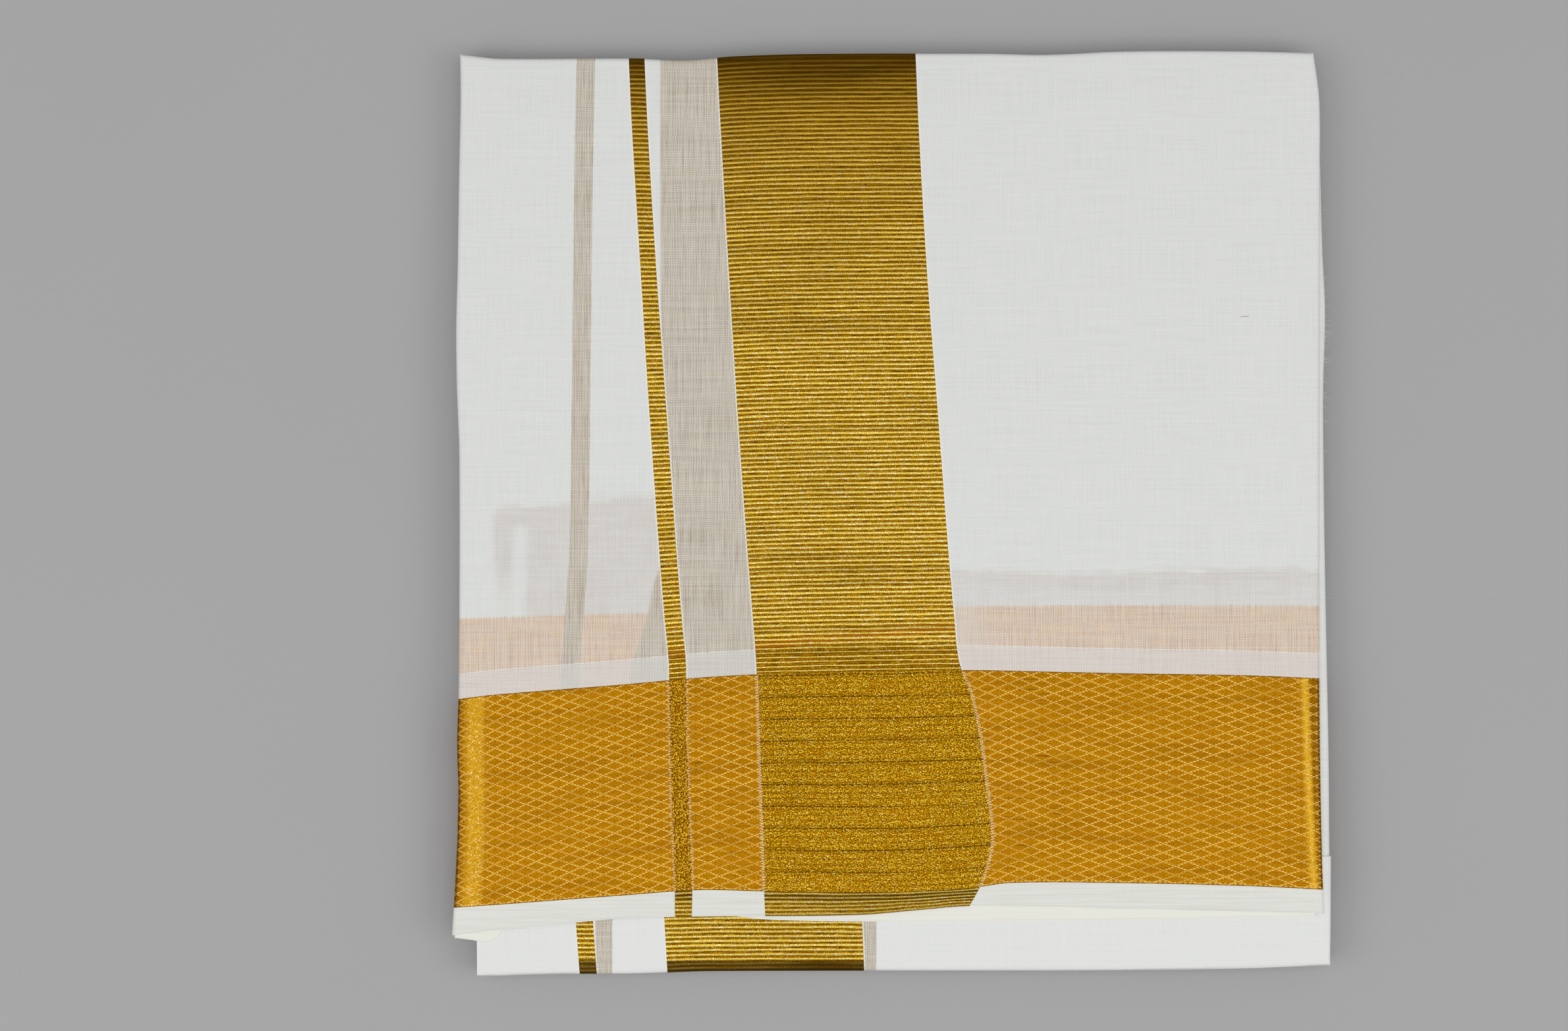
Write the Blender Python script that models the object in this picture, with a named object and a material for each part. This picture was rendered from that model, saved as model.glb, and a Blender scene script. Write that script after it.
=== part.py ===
"""A dhoti cloth: fine white cotton with a gold zari border and end band, folded flat into a packet.

The packet lies on Z = 0. +X runs along the border to the right and +Y from the selvedge, at the
front, to the fold at the back. The origin is at the middle of the packet, on the surface it lies on.

The cloth is one woven length, so its pieces here are the stretches that show when it is folded:
the top panel, the second layer that peeks out below it, the lower tier with the mid fold, the edge
of the next panel, the underside, and one solid for the layers that are hidden. A stretch is parted
where the weave changes, from plain cotton to a gold stripe, band or border.
"""

import bisect
import math
from collections import namedtuple

import bmesh
import bpy
from mathutils import Vector

MM = 0.001

# Cloth and folds
SEAM = 0.3 * MM
WALL = 1.0 * MM
PLY = WALL + SEAM
FOLD_RADIUS = 2.2 * MM
SOFT_FOLD_RADIUS = 1.6 * MM
FOLD_STEPS = 3

# Weft ribs of the gold end band
RIB_PITCH = 1.62 * MM
RIB_HEIGHT = 0.35 * MM
RIB_ROWS = 2
RIBS_PER_INNER_ROW = 5

# Soft unevenness of the packet's top
SHOULDER_DROP = 0.8 * MM
SHOULDER_WIDTH = 24.0 * MM
SWELL = 0.3 * MM
SWELL_LENGTH = 190.0 * MM
SWELL_DEPTH = 240.0 * MM
SWELL_START = 0.6

# How far the stretches that peek out run on under the layer above them
SECOND_LAYER_INNER = -127.0 * MM
SECOND_LAYER_RIGHT = 150.8 * MM
TIER_INNER = -122.0 * MM
NEXT_PANEL_INNER = 136.0 * MM
TIER_LEFT = -148.0 * MM
TIER_RIGHT = 156.5 * MM
TIER_RIB_END = -145.5 * MM

# Underside
UNDER_INSET = 0.6 * MM
UNDER_CLEARANCE = 1.0 * MM
UNDER_BORDER_BACK = -62.0 * MM
UNDER_BORDER_FRONT = -138.0 * MM

# Hidden layers
HIDDEN_LAYERS = 7
LAYER_OUT = 0.7 * MM
LAYER_GROOVE = 1.3 * MM
LAYER_UNEVEN = 0.4 * MM
RAMP = 7.0 * MM
RAMP_FRONT = -112.0 * MM
RAMP_RIGHT = 126.0 * MM
LAYER_TURN = 2.1
LAYER_SWELL = (0.32, 0.76)
GROOVE_HEIGHT = 0.02
CORE_LINES_X = 12
CORE_FIRST_X = -140.0 * MM
CORE_LAST_X = 146.0 * MM
CORE_LINES_Y = 13
CORE_FRONT_Y = (-150.0 * MM, -139.0 * MM)
CORE_LAST_Y = 150.0 * MM

# Grid of a stretch: times that a point's place is refined between two curved edges, and the angle
# between faces past which an edge is sharp
REFINEMENTS = 6
SHARP_ANGLE = math.radians(40)

# Height of the packet's top face, from its front to its back
HeightRow = namedtuple("HeightRow", "y height")
HEIGHTS = [
    HeightRow(-165 * MM, 14.0 * MM),
    HeightRow(-143 * MM, 15.6 * MM),
    HeightRow(-118 * MM, 16.3 * MM),
    HeightRow(-95 * MM, 16.5 * MM),
    HeightRow(-55 * MM, 15.9 * MM),
    HeightRow(0 * MM, 15.1 * MM),
    HeightRow(80 * MM, 14.4 * MM),
    HeightRow(140 * MM, 13.8 * MM),
    HeightRow(165 * MM, 13.2 * MM),
]

# Left and right folds of the top panel
SideRow = namedtuple("SideRow", "y left right")
PANEL_SIDES = [
    SideRow(-150 * MM, -156.9 * MM, 154.6 * MM),
    SideRow(-131 * MM, -155.7 * MM, 153.5 * MM),
    SideRow(-103 * MM, -154.5 * MM, 152.7 * MM),
    SideRow(-82 * MM, -155.0 * MM, 152.4 * MM),
    SideRow(-60 * MM, -154.4 * MM, 152.3 * MM),
    SideRow(20 * MM, -154.3 * MM, 152.4 * MM),
    SideRow(45 * MM, -155.2 * MM, 152.5 * MM),
    SideRow(66 * MM, -155.5 * MM, 152.6 * MM),
    SideRow(87 * MM, -155.0 * MM, 152.6 * MM),
    SideRow(122 * MM, -154.5 * MM, 152.7 * MM),
    SideRow(148 * MM, -154.0 * MM, 152.6 * MM),
    SideRow(165 * MM, -154.2 * MM, 150.5 * MM),
]

# Right fold of the panel below, which shows beyond the top panel
NextRow = namedtuple("NextRow", "y right")
NEXT_PANEL_SIDE = [
    NextRow(-150 * MM, 156.5 * MM),
    NextRow(-117 * MM, 156.0 * MM),
    NextRow(-82 * MM, 155.7 * MM),
    NextRow(-40 * MM, 155.0 * MM),
    NextRow(9 * MM, 154.3 * MM),
    NextRow(44 * MM, 154.1 * MM),
    NextRow(72 * MM, 154.8 * MM),
    NextRow(95 * MM, 153.8 * MM),
    NextRow(122 * MM, 153.1 * MM),
    NextRow(148 * MM, 152.2 * MM),
    NextRow(165 * MM, 150.5 * MM),
]

# Left side of the hidden layers: they stand back under the overhanging corner at the front
CoreRow = namedtuple("CoreRow", "y left")
CORE_LEFT = [
    CoreRow(-165 * MM, -147.8 * MM),
    CoreRow(-150 * MM, -148.0 * MM),
    CoreRow(-136 * MM, -154.4 * MM),
    CoreRow(-60 * MM, -154.2 * MM),
    CoreRow(66 * MM, -155.2 * MM),
    CoreRow(165 * MM, -154.0 * MM),
]

# Front edges of the three tiers and the fold at the back, along the packet's length
BackRow = namedtuple("BackRow", "x back")
BACK_FOLD = [
    BackRow(-157 * MM, 164.4 * MM),
    BackRow(-150 * MM, 163.6 * MM),
    BackRow(-140 * MM, 162.6 * MM),
    BackRow(-92 * MM, 162.6 * MM),
    BackRow(-74 * MM, 161.9 * MM),
    BackRow(-57 * MM, 163.3 * MM),
    BackRow(-29 * MM, 164.2 * MM),
    BackRow(34 * MM, 164.4 * MM),
    BackRow(55 * MM, 164.0 * MM),
    BackRow(84 * MM, 165.2 * MM),
    BackRow(126 * MM, 165.2 * MM),
    BackRow(157 * MM, 164.4 * MM),
]

HemRow = namedtuple("HemRow", "x front")
HEM = [
    HemRow(-157 * MM, -150.3 * MM),
    HemRow(-138 * MM, -148.0 * MM),
    HemRow(-123 * MM, -146.6 * MM),
    HemRow(-97 * MM, -144.1 * MM),
    HemRow(-69 * MM, -143.3 * MM),
    HemRow(-13 * MM, -142.8 * MM),
    HemRow(11 * MM, -140.9 * MM),
    HemRow(28 * MM, -139.6 * MM),
    HemRow(90 * MM, -140.7 * MM),
    HemRow(157 * MM, -142.4 * MM),
]

SECOND_HEM = [
    HemRow(-138 * MM, -145.2 * MM),
    HemRow(-97 * MM, -141.8 * MM),
    HemRow(-66 * MM, -142.2 * MM),
    HemRow(-42 * MM, -144.6 * MM),
    HemRow(34 * MM, -145.2 * MM),
    HemRow(157 * MM, -143.4 * MM),
]

TIER_FOLD = [
    HemRow(-157 * MM, -165.2 * MM),
    HemRow(-142 * MM, -165.0 * MM),
    HemRow(-120 * MM, -164.3 * MM),
    HemRow(-92 * MM, -164.1 * MM),
    HemRow(-64 * MM, -163.2 * MM),
    HemRow(69 * MM, -163.0 * MM),
    HemRow(126 * MM, -162.3 * MM),
    HemRow(157 * MM, -161.2 * MM),
]

# Back and front edges of the zari border
BorderRow = namedtuple("BorderRow", "x back front")
BORDER = [
    BorderRow(-157 * MM, -66.3 * MM, -140.4 * MM),
    BorderRow(-142 * MM, -64.4 * MM, -139.3 * MM),
    BorderRow(-97 * MM, -60.8 * MM, -135.9 * MM),
    BorderRow(-69 * MM, -58.3 * MM, -133.9 * MM),
    BorderRow(-46 * MM, -57.0 * MM, -134.3 * MM),
    BorderRow(0 * MM, -56.0 * MM, -134.6 * MM),
    BorderRow(28 * MM, -55.6 * MM, -133.2 * MM),
    BorderRow(42 * MM, -55.8 * MM, -131.4 * MM),
    BorderRow(81 * MM, -56.7 * MM, -131.4 * MM),
    BorderRow(128 * MM, -57.5 * MM, -132.5 * MM),
    BorderRow(157 * MM, -58.8 * MM, -134.0 * MM),
]

# Woven zones across the top panel: the narrow stripe and the wide end band
ZoneRow = namedtuple("ZoneRow", "y stripe_left stripe_right band_left band_right")
ZONES = [
    ZoneRow(-143 * MM, -77.3 * MM, -71.3 * MM, -45.2 * MM, 25.6 * MM),
    ZoneRow(-131 * MM, -77.4 * MM, -71.1 * MM, -45.7 * MM, 32.0 * MM),
    ZoneRow(-117 * MM, -78.0 * MM, -71.6 * MM, -46.2 * MM, 35.6 * MM),
    ZoneRow(-98 * MM, -78.8 * MM, -72.3 * MM, -46.9 * MM, 33.9 * MM),
    ZoneRow(-76 * MM, -79.3 * MM, -72.9 * MM, -47.6 * MM, 30.9 * MM),
    ZoneRow(-62 * MM, -79.5 * MM, -73.3 * MM, -48.1 * MM, 27.6 * MM),
    ZoneRow(-53 * MM, -79.5 * MM, -73.4 * MM, -48.4 * MM, 23.9 * MM),
    ZoneRow(-36 * MM, -81.1 * MM, -75.0 * MM, -49.7 * MM, 22.0 * MM),
    ZoneRow(-12 * MM, -83.0 * MM, -76.9 * MM, -51.6 * MM, 19.9 * MM),
    ZoneRow(37 * MM, -86.5 * MM, -80.4 * MM, -55.1 * MM, 16.2 * MM),
    ZoneRow(87 * MM, -89.6 * MM, -84.0 * MM, -58.2 * MM, 12.4 * MM),
    ZoneRow(136 * MM, -92.6 * MM, -87.0 * MM, -61.0 * MM, 9.6 * MM),
    ZoneRow(165 * MM, -94.0 * MM, -88.4 * MM, -62.5 * MM, 8.4 * MM),
]

# The same zones on the lower tier
TIER_ZONES = [
    ZoneRow(-165 * MM, -111.3 * MM, -105.2 * MM, -80.0 * MM, -9.8 * MM),
    ZoneRow(-122 * MM, -114.3 * MM, -108.1 * MM, -82.3 * MM, -11.7 * MM),
]

# The selvedge's corner, turned under itself at the front left: corners of the turned flap
FlapRow = namedtuple("FlapRow", "x y")
FOLDED_CORNER = [
    FlapRow(-156.6 * MM, -150.8 * MM),
    FlapRow(-144.4 * MM, -152.6 * MM),
    FlapRow(-139.4 * MM, -149.2 * MM),
    FlapRow(-138.6 * MM, -138.0 * MM),
    FlapRow(-154.6 * MM, -138.0 * MM),
    FlapRow(-154.9 * MM, -150.3 * MM),
]

Finish = namedtuple("Finish", "colour roughness metallic")
COTTON = Finish((0.80, 0.82, 0.81), 0.85, 0.0)
SELVEDGE = Finish((0.84, 0.83, 0.76), 0.8, 0.0)
BAND_GOLD = Finish((0.62, 0.42, 0.09), 0.38, 0.8)
BORDER_GOLD = Finish((0.78, 0.47, 0.06), 0.35, 0.8)
CROSSING_GOLD = Finish((0.72, 0.46, 0.10), 0.36, 0.8)


def between(rows, column, at):
    """Reads a column of a table at a place along its first column, on a smooth curve through the rows."""
    places = [row[0] for row in rows]
    values = [getattr(row, column) for row in rows]
    if at <= places[0]:
        return values[0]
    if at >= places[-1]:
        return values[-1]
    i = bisect.bisect_right(places, at) - 1
    span = places[i + 1] - places[i]
    t = (at - places[i]) / span
    first, last = max(i - 1, 0), min(i + 2, len(rows) - 1)
    slope_in = (values[i + 1] - values[first]) / (places[i + 1] - places[first])
    slope_out = (values[last] - values[i]) / (places[last] - places[i])
    return (
        values[i] * (2 * t**3 - 3 * t**2 + 1)
        + slope_in * span * (t**3 - 2 * t**2 + t)
        + values[i + 1] * (3 * t**2 - 2 * t**3)
        + slope_out * span * (t**3 - t**2)
    )


def smooth(share):
    """Eases from 0 to 1."""
    t = min(max(share, 0.0), 1.0)
    return t * t * (3 - 2 * t)


def mix(low, high, share):
    """The value at a share of the way from low to high."""
    return low + (high - low) * share


def top_height(x, y):
    """Height of the packet's top face, with its soft swell and its lower shoulders at the folds."""
    to_side = min(
        x - between(PANEL_SIDES, "left", y),
        between(NEXT_PANEL_SIDE, "right", y) - x,
        between(BACK_FOLD, "back", x) - y,
    )
    shoulder = SHOULDER_DROP * (1 - smooth(to_side / SHOULDER_WIDTH))
    along, across = math.tau * x / SWELL_LENGTH, math.tau * y / SWELL_DEPTH
    swell = SWELL * math.sin(along + SWELL_START) * math.cos(across)
    return between(HEIGHTS, "height", y) + swell - shoulder


Station = namedtuple("Station", "share out turn")


def stations(shares, low_radius, high_radius):
    """Places across a stretch: shares of its flat part, with a quarter round at each end that is folded."""
    turns = [math.pi / 2 * step / FOLD_STEPS for step in range(1, FOLD_STEPS + 1)]
    found = [Station(share, 0.0, 0.0) for share in shares]
    if low_radius:
        found = [Station(0.0, -low_radius * math.sin(t), -t) for t in reversed(turns)] + found
    if high_radius:
        found += [Station(1.0, high_radius * math.sin(t), t) for t in turns]
    return found


def even(cells, low_finer=False, high_finer=False):
    """Even shares from 0 to 1, with the end cells halved where a shoulder falls away."""
    finer = ([0.5 / cells, 1.5 / cells] if low_finer else []) + (
        [1 - 1.5 / cells, 1 - 0.5 / cells] if high_finer else []
    )
    return sorted([cell / cells for cell in range(cells + 1)] + finer)


# A stretch of cloth: its four edges, which of them are folded over, how many plies down it lies,
# the radius of its folds, and whether it faces down, as the underside does
Stretch = namedtuple(
    "Stretch", "left right front back folded level radius faces_down", defaults=(0, FOLD_RADIUS, False)
)


def lay(stretch, across, along):
    """Lays a grid of points and their outward directions over a stretch of cloth."""
    sides, radius = stretch.folded, stretch.radius
    columns = stations(across, radius if "left" in sides else 0, radius if "right" in sides else 0)
    rows = stations(along, radius if "front" in sides else 0, radius if "back" in sides else 0)
    points, facing = [], []
    for row in rows:
        points.append([])
        facing.append([])
        for column in columns:
            x, y = 0.0, mix(stretch.front(0), stretch.back(0), row.share)
            for _ in range(REFINEMENTS):
                low = stretch.left(y) + (radius if "left" in sides else SEAM / 2)
                high = stretch.right(y) - (radius if "right" in sides else SEAM / 2)
                x = mix(low, high, column.share) + column.out
                near = stretch.front(x) + (radius if "front" in sides else SEAM / 2)
                far = stretch.back(x) - (radius if "back" in sides else SEAM / 2)
                y = mix(near, far, row.share) + row.out
            flatness = math.cos(column.turn) * math.cos(row.turn)
            round_off = radius * (1 - flatness)
            height = round_off if stretch.faces_down else top_height(x, y) - stretch.level * PLY - round_off
            points[-1].append(Vector((x, y, height)))
            upward = -flatness if stretch.faces_down else flatness
            facing[-1].append(Vector((math.sin(column.turn), math.sin(row.turn), upward)).normalized())
    return points, facing


def closed_wall(name, points, facing, finish, ribs=(), inner_rows=None):
    """Makes a wall of the cloth's thickness from a grid of points on its outer face.

    ribs lists the rows that are raised by a rib's height. inner_rows lists the rows that the plain
    inner face keeps, the first and the last among them.
    """
    inner_rows = inner_rows or list(range(len(points)))
    mesh = bmesh.new()
    outer = [
        [mesh.verts.new(p + n * (RIB_HEIGHT if i in ribs else 0.0)) for p, n in zip(*row)]
        for i, row in enumerate(zip(points, facing))
    ]
    inner = {i: [mesh.verts.new(p - n * WALL) for p, n in zip(points[i], facing[i])] for i in inner_rows}
    for low, high in zip(outer, outer[1:]):
        for c in range(len(low) - 1):
            mesh.faces.new((low[c], low[c + 1], high[c + 1], high[c]))
    for a, b in zip(inner_rows, inner_rows[1:]):
        for c in range(len(inner[a]) - 1):
            mesh.faces.new((inner[a][c], inner[b][c], inner[b][c + 1], inner[a][c + 1]))
        mesh.faces.new([inner[b][0], inner[a][0]] + [outer[i][0] for i in range(a, b + 1)])
        mesh.faces.new([inner[a][-1], inner[b][-1]] + [outer[i][-1] for i in range(b, a - 1, -1)])
    for rim, flip in ((inner_rows[0], False), (inner_rows[-1], True)):
        for c in range(len(inner[rim]) - 1):
            face = [outer[rim][c], inner[rim][c], inner[rim][c + 1], outer[rim][c + 1]]
            mesh.faces.new(face[::-1] if flip else face)
    if facing[len(facing) // 2][len(facing[0]) // 2].z < 0:
        bmesh.ops.reverse_faces(mesh, faces=mesh.faces)
    return finished(name, mesh, finish)


def finished(name, mesh, finish):
    """Turns a built shape into a named object with its own material."""
    data = bpy.data.meshes.new(name)
    mesh.to_mesh(data)
    mesh.free()
    data.shade_smooth()
    data.set_sharp_from_angle(angle=SHARP_ANGLE)
    material = bpy.data.materials.new(name)
    material.use_nodes = True
    shader = material.node_tree.nodes["Principled BSDF"]
    shader.inputs["Base Color"].default_value = (*finish.colour, 1.0)
    shader.inputs["Roughness"].default_value = finish.roughness
    shader.inputs["Metallic"].default_value = finish.metallic
    data.materials.append(material)
    thing = bpy.data.objects.new(name, data)
    bpy.context.scene.collection.objects.link(thing)
    return thing


def edge(rows, column, moved=0.0):
    """A function that reads one edge from a table, moved by a distance."""
    return lambda at: between(rows, column, at) + moved


def line(value):
    """A straight edge."""
    return lambda _: value


def ribbed_rows(length, front_steps, back_steps, end=1.0):
    """Rows of a ribbed stretch: their shares, which are crests, and which the plain inner face keeps.

    length is the flat part's whole length, and end the share of it where the ribs stop. front_steps
    and back_steps count the rows of the folds before and after the flat part.
    """
    ribs = round(end * length / RIB_PITCH)
    shares = [end * i / (ribs * RIB_ROWS) for i in range(ribs * RIB_ROWS + 1)]
    crests = {front_steps + rib * RIB_ROWS + 1 for rib in range(ribs)}
    last_rib = front_steps + len(shares) - 1
    if end < 1:
        shares.append(1.0)
    last = front_steps + len(shares) - 1 + back_steps
    inner = set(range(front_steps + 1)) | set(range(last_rib, last + 1))
    inner |= set(range(front_steps, last_rib, RIBS_PER_INNER_ROW * RIB_ROWS))
    return shares, crests, sorted(inner)


def make_top_panel():
    """The top panel's woven zones: plain ground, stripe and band, then border, then the selvedge hem."""
    left, right = edge(PANEL_SIDES, "left"), edge(PANEL_SIDES, "right")
    stripe_left, stripe_right = edge(ZONES, "stripe_left"), edge(ZONES, "stripe_right")
    band_left, band_right = edge(ZONES, "band_left"), edge(ZONES, "band_right")
    back, hem = edge(BACK_FOLD, "back"), edge(HEM, "front")
    border_back, border_front = edge(BORDER, "back"), edge(BORDER, "front")

    ground_rows = even(12, high_finer=True)
    ground = [
        ("top_ground_left", left, stripe_left, ("left", "back"), even(4, low_finer=True), COTTON),
        ("top_zari_stripe", stripe_left, stripe_right, ("back",), even(1), BAND_GOLD),
        ("top_ground_middle", stripe_right, band_left, ("back",), even(2), COTTON),
        ("top_ground_right", band_right, right, ("right", "back"), even(8, high_finer=True), COTTON),
    ]
    for name, low, high, folded, shares, finish in ground:
        stretch = Stretch(low, high, border_back, back, folded)
        closed_wall(name, *lay(stretch, shares, ground_rows), finish)

    stretch = Stretch(band_left, band_right, border_back, back, ("back",))
    shares, crests, inner = ribbed_rows(back(0) - FOLD_RADIUS - border_back(0), 0, FOLD_STEPS)
    closed_wall("top_zari_band", *lay(stretch, even(3), shares), BAND_GOLD, crests, inner)

    lengths = [
        ("border_left", left, band_left, ("left",), even(8, low_finer=True), BORDER_GOLD),
        ("border_crossing", band_left, band_right, (), even(4), CROSSING_GOLD),
        ("border_right", band_right, right, ("right",), even(8, high_finer=True), BORDER_GOLD),
    ]
    for name, low, high, folded, shares, finish in lengths:
        stretch = Stretch(low, high, border_front, border_back, folded)
        closed_wall(name, *lay(stretch, shares, even(5)), finish)

    strips = [
        ("hem_left", left, band_left, ("left",), even(8, low_finer=True)),
        ("hem_right", band_right, right, ("right",), even(8, high_finer=True)),
    ]
    for name, low, high, folded, shares in strips:
        stretch = Stretch(low, high, hem, border_front, folded)
        closed_wall(name, *lay(stretch, shares, even(2)), SELVEDGE)
    stretch = Stretch(band_left, band_right, hem, border_front, ())
    shares, crests, inner = ribbed_rows(border_front(0) - hem(0), 0, 0)
    closed_wall("hem_band", *lay(stretch, even(4), shares), BAND_GOLD, crests, inner)


def make_second_layer():
    """The second layer's selvedge, just below the hem, and its corner that is turned under."""
    stretch = Stretch(
        line(FOLDED_CORNER[3].x + SEAM),
        line(SECOND_LAYER_RIGHT),
        edge(SECOND_HEM, "front"),
        line(SECOND_LAYER_INNER),
        (),
        1,
    )
    closed_wall("second_selvedge", *lay(stretch, even(14, True, True), even(2)), SELVEDGE)

    mesh = bmesh.new()
    rings = []
    for depth in (0.0, WALL):
        rings.append([mesh.verts.new((p.x, p.y, top_height(p.x, p.y) - PLY - depth)) for p in FOLDED_CORNER])
    mesh.faces.new(rings[0])
    mesh.faces.new(rings[1][::-1])
    for i in range(len(FOLDED_CORNER)):
        mesh.faces.new((rings[0][i], rings[0][i - 1], rings[1][i - 1], rings[1][i]))
    finished("folded_corner", mesh, SELVEDGE)


def make_lower_tier():
    """The lower tier, whose front is the cloth's mid fold, with the same woven zones."""
    fold = edge(TIER_FOLD, "front")
    inner_end = line(TIER_INNER)
    left, right = line(TIER_LEFT), line(TIER_RIGHT)
    stripe_left, stripe_right = edge(TIER_ZONES, "stripe_left"), edge(TIER_ZONES, "stripe_right")
    band_left, band_right = edge(TIER_ZONES, "band_left"), edge(TIER_ZONES, "band_right")
    fields = [
        ("tier_left", left, stripe_left, ("front",), even(3), COTTON),
        ("tier_stripe", stripe_left, stripe_right, ("front",), even(1), BAND_GOLD),
        ("tier_middle", stripe_right, band_left, ("front",), even(2), COTTON),
        ("tier_right", band_right, right, ("front", "right"), even(10, high_finer=True), COTTON),
    ]
    for name, low, high, folded, shares, finish in fields:
        stretch = Stretch(low, high, fold, inner_end, folded, 2)
        closed_wall(name, *lay(stretch, shares, even(3)), finish)

    stretch = Stretch(band_left, band_right, fold, inner_end, ("front",), 2)
    length = TIER_INNER - fold(0) - FOLD_RADIUS
    visible = (TIER_RIB_END - fold(0) - FOLD_RADIUS) / length
    shares, crests, inner = ribbed_rows(length, FOLD_STEPS, 0, visible)
    closed_wall("tier_zari_band", *lay(stretch, even(3), shares), BAND_GOLD, crests, inner)


def make_next_panel_edge():
    """The edge of the panel below, a narrow strip beyond the top panel's right fold."""
    stretch = Stretch(
        line(NEXT_PANEL_INNER),
        edge(NEXT_PANEL_SIDE, "right"),
        line(TIER_INNER),
        edge(BACK_FOLD, "back"),
        ("right", "back"),
        2,
        SOFT_FOLD_RADIUS,
    )
    closed_wall("next_panel_edge", *lay(stretch, even(2), even(14, high_finer=True)), COTTON)


def make_underside():
    """The last panel, face down and flat on the surface, with its own length of border."""
    left = edge(CORE_LEFT, "left", UNDER_INSET)
    right = edge(NEXT_PANEL_SIDE, "right", -UNDER_INSET)
    front = edge(TIER_FOLD, "front", UNDER_INSET)
    back = edge(BACK_FOLD, "back", -UNDER_INSET)
    pieces = [
        ("under_ground", line(UNDER_BORDER_BACK), back, ("left", "right", "back"), 10, COTTON),
        ("under_border", line(UNDER_BORDER_FRONT), line(UNDER_BORDER_BACK), ("left", "right"), 3, BORDER_GOLD),
        ("under_hem", front, line(UNDER_BORDER_FRONT), ("left", "right", "front"), 2, COTTON),
    ]
    for name, low, high, folded, cells, finish in pieces:
        stretch = Stretch(left, right, low, high, folded, 0, SOFT_FOLD_RADIUS, True)
        closed_wall(name, *lay(stretch, even(6), even(cells)), finish)


def core_height(x, y):
    """Top of the hidden layers: one ply under the top panel, and three where two more lie between."""
    lowered = max(smooth((RAMP_FRONT - y) / RAMP), smooth((x - RAMP_RIGHT) / RAMP))
    return top_height(x, y) - PLY - 2 * PLY * lowered


def make_hidden_layers():
    """One rounded solid for the layers that don't show, with each fold as a bulge at its sides."""
    left, right = edge(CORE_LEFT, "left"), edge(NEXT_PANEL_SIDE, "right")
    front, back = edge(TIER_FOLD, "front"), edge(BACK_FOLD, "back")

    xs = [mix(CORE_FIRST_X, RAMP_RIGHT, share) for share in even(CORE_LINES_X - 1)]
    xs += [RAMP_RIGHT + RAMP, CORE_LAST_X]
    ys = [*CORE_FRONT_Y, RAMP_FRONT - RAMP]
    ys += [mix(RAMP_FRONT, CORE_LAST_Y, share) for share in even(CORE_LINES_Y - 1)]
    columns, rows = len(xs) + 2, len(ys) + 2

    def place(i, j, inset):
        """A point of the plan, with the outline moved in."""
        y = front(xs[0]) if j == 0 else back(xs[0]) if j == rows - 1 else ys[j - 1]
        x = left(y) + inset if i == 0 else right(y) - inset if i == columns - 1 else xs[i - 1]
        y = front(x) + inset if j == 0 else back(x) - inset if j == rows - 1 else y
        return x, y

    rim = [(i, 0) for i in range(columns - 1)]
    rim += [(columns - 1, j) for j in range(rows - 1)]
    rim += [(i, rows - 1) for i in range(columns - 1, 0, -1)]
    rim += [(0, j) for j in range(rows - 1, 0, -1)]

    def layer_rings():
        """Rings from the underside up: inset from the outline, and share of the height between folds."""
        yield UNDER_INSET + WALL + UNDER_CLEARANCE, 0.0
        for layer in range(HIDDEN_LAYERS):
            start = layer / HIDDEN_LAYERS
            uneven = LAYER_UNEVEN * math.sin(LAYER_TURN * layer)
            yield LAYER_OUT + LAYER_GROOVE, start + GROOVE_HEIGHT
            for share in LAYER_SWELL:
                yield LAYER_OUT + uneven, start + share / HIDDEN_LAYERS
        yield LAYER_OUT + LAYER_GROOVE, 1.0

    mesh = bmesh.new()
    floor = WALL + SEAM
    first = SOFT_FOLD_RADIUS + SEAM
    rings = [[Vector((*place(i, j, UNDER_INSET + WALL + UNDER_CLEARANCE), floor)) for i, j in rim]]
    for inset, share in layer_rings():
        ring = []
        for i, j in rim:
            x, y = place(i, j, inset)
            top = core_height(x, y) - FOLD_RADIUS + WALL - SEAM / 2
            ring.append(Vector((x, y, mix(first, top, share))))
        rings.append(ring)
    for inset, drop in ((FOLD_RADIUS - SEAM, FOLD_RADIUS - WALL - SEAM), (FOLD_RADIUS, SEAM)):
        ring = []
        for i, j in rim:
            x, y = place(i, j, inset)
            ring.append(Vector((x, y, core_height(x, y) - drop)))
        rings.append(ring)

    made = [[mesh.verts.new(p) for p in ring] for ring in rings]
    mesh.faces.new(made[0][::-1])
    for low, high in zip(made, made[1:]):
        for k in range(len(rim)):
            mesh.faces.new((low[k - 1], low[k], high[k], high[k - 1]))
    grid = dict(zip(rim, made[-1]))
    for i in range(1, columns - 1):
        for j in range(1, rows - 1):
            x, y = place(i, j, 0.0)
            grid[i, j] = mesh.verts.new((x, y, core_height(x, y)))
    for i in range(columns - 1):
        for j in range(rows - 1):
            mesh.faces.new((grid[i, j], grid[i + 1, j], grid[i + 1, j + 1], grid[i, j + 1]))
    finished("hidden_layers", mesh, COTTON)


def main():
    """Clears the scene and builds the packet."""
    for thing in list(bpy.data.objects):
        bpy.data.objects.remove(thing, do_unlink=True)
    make_hidden_layers()
    make_underside()
    make_lower_tier()
    make_next_panel_edge()
    make_second_layer()
    make_top_panel()


main()
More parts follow.
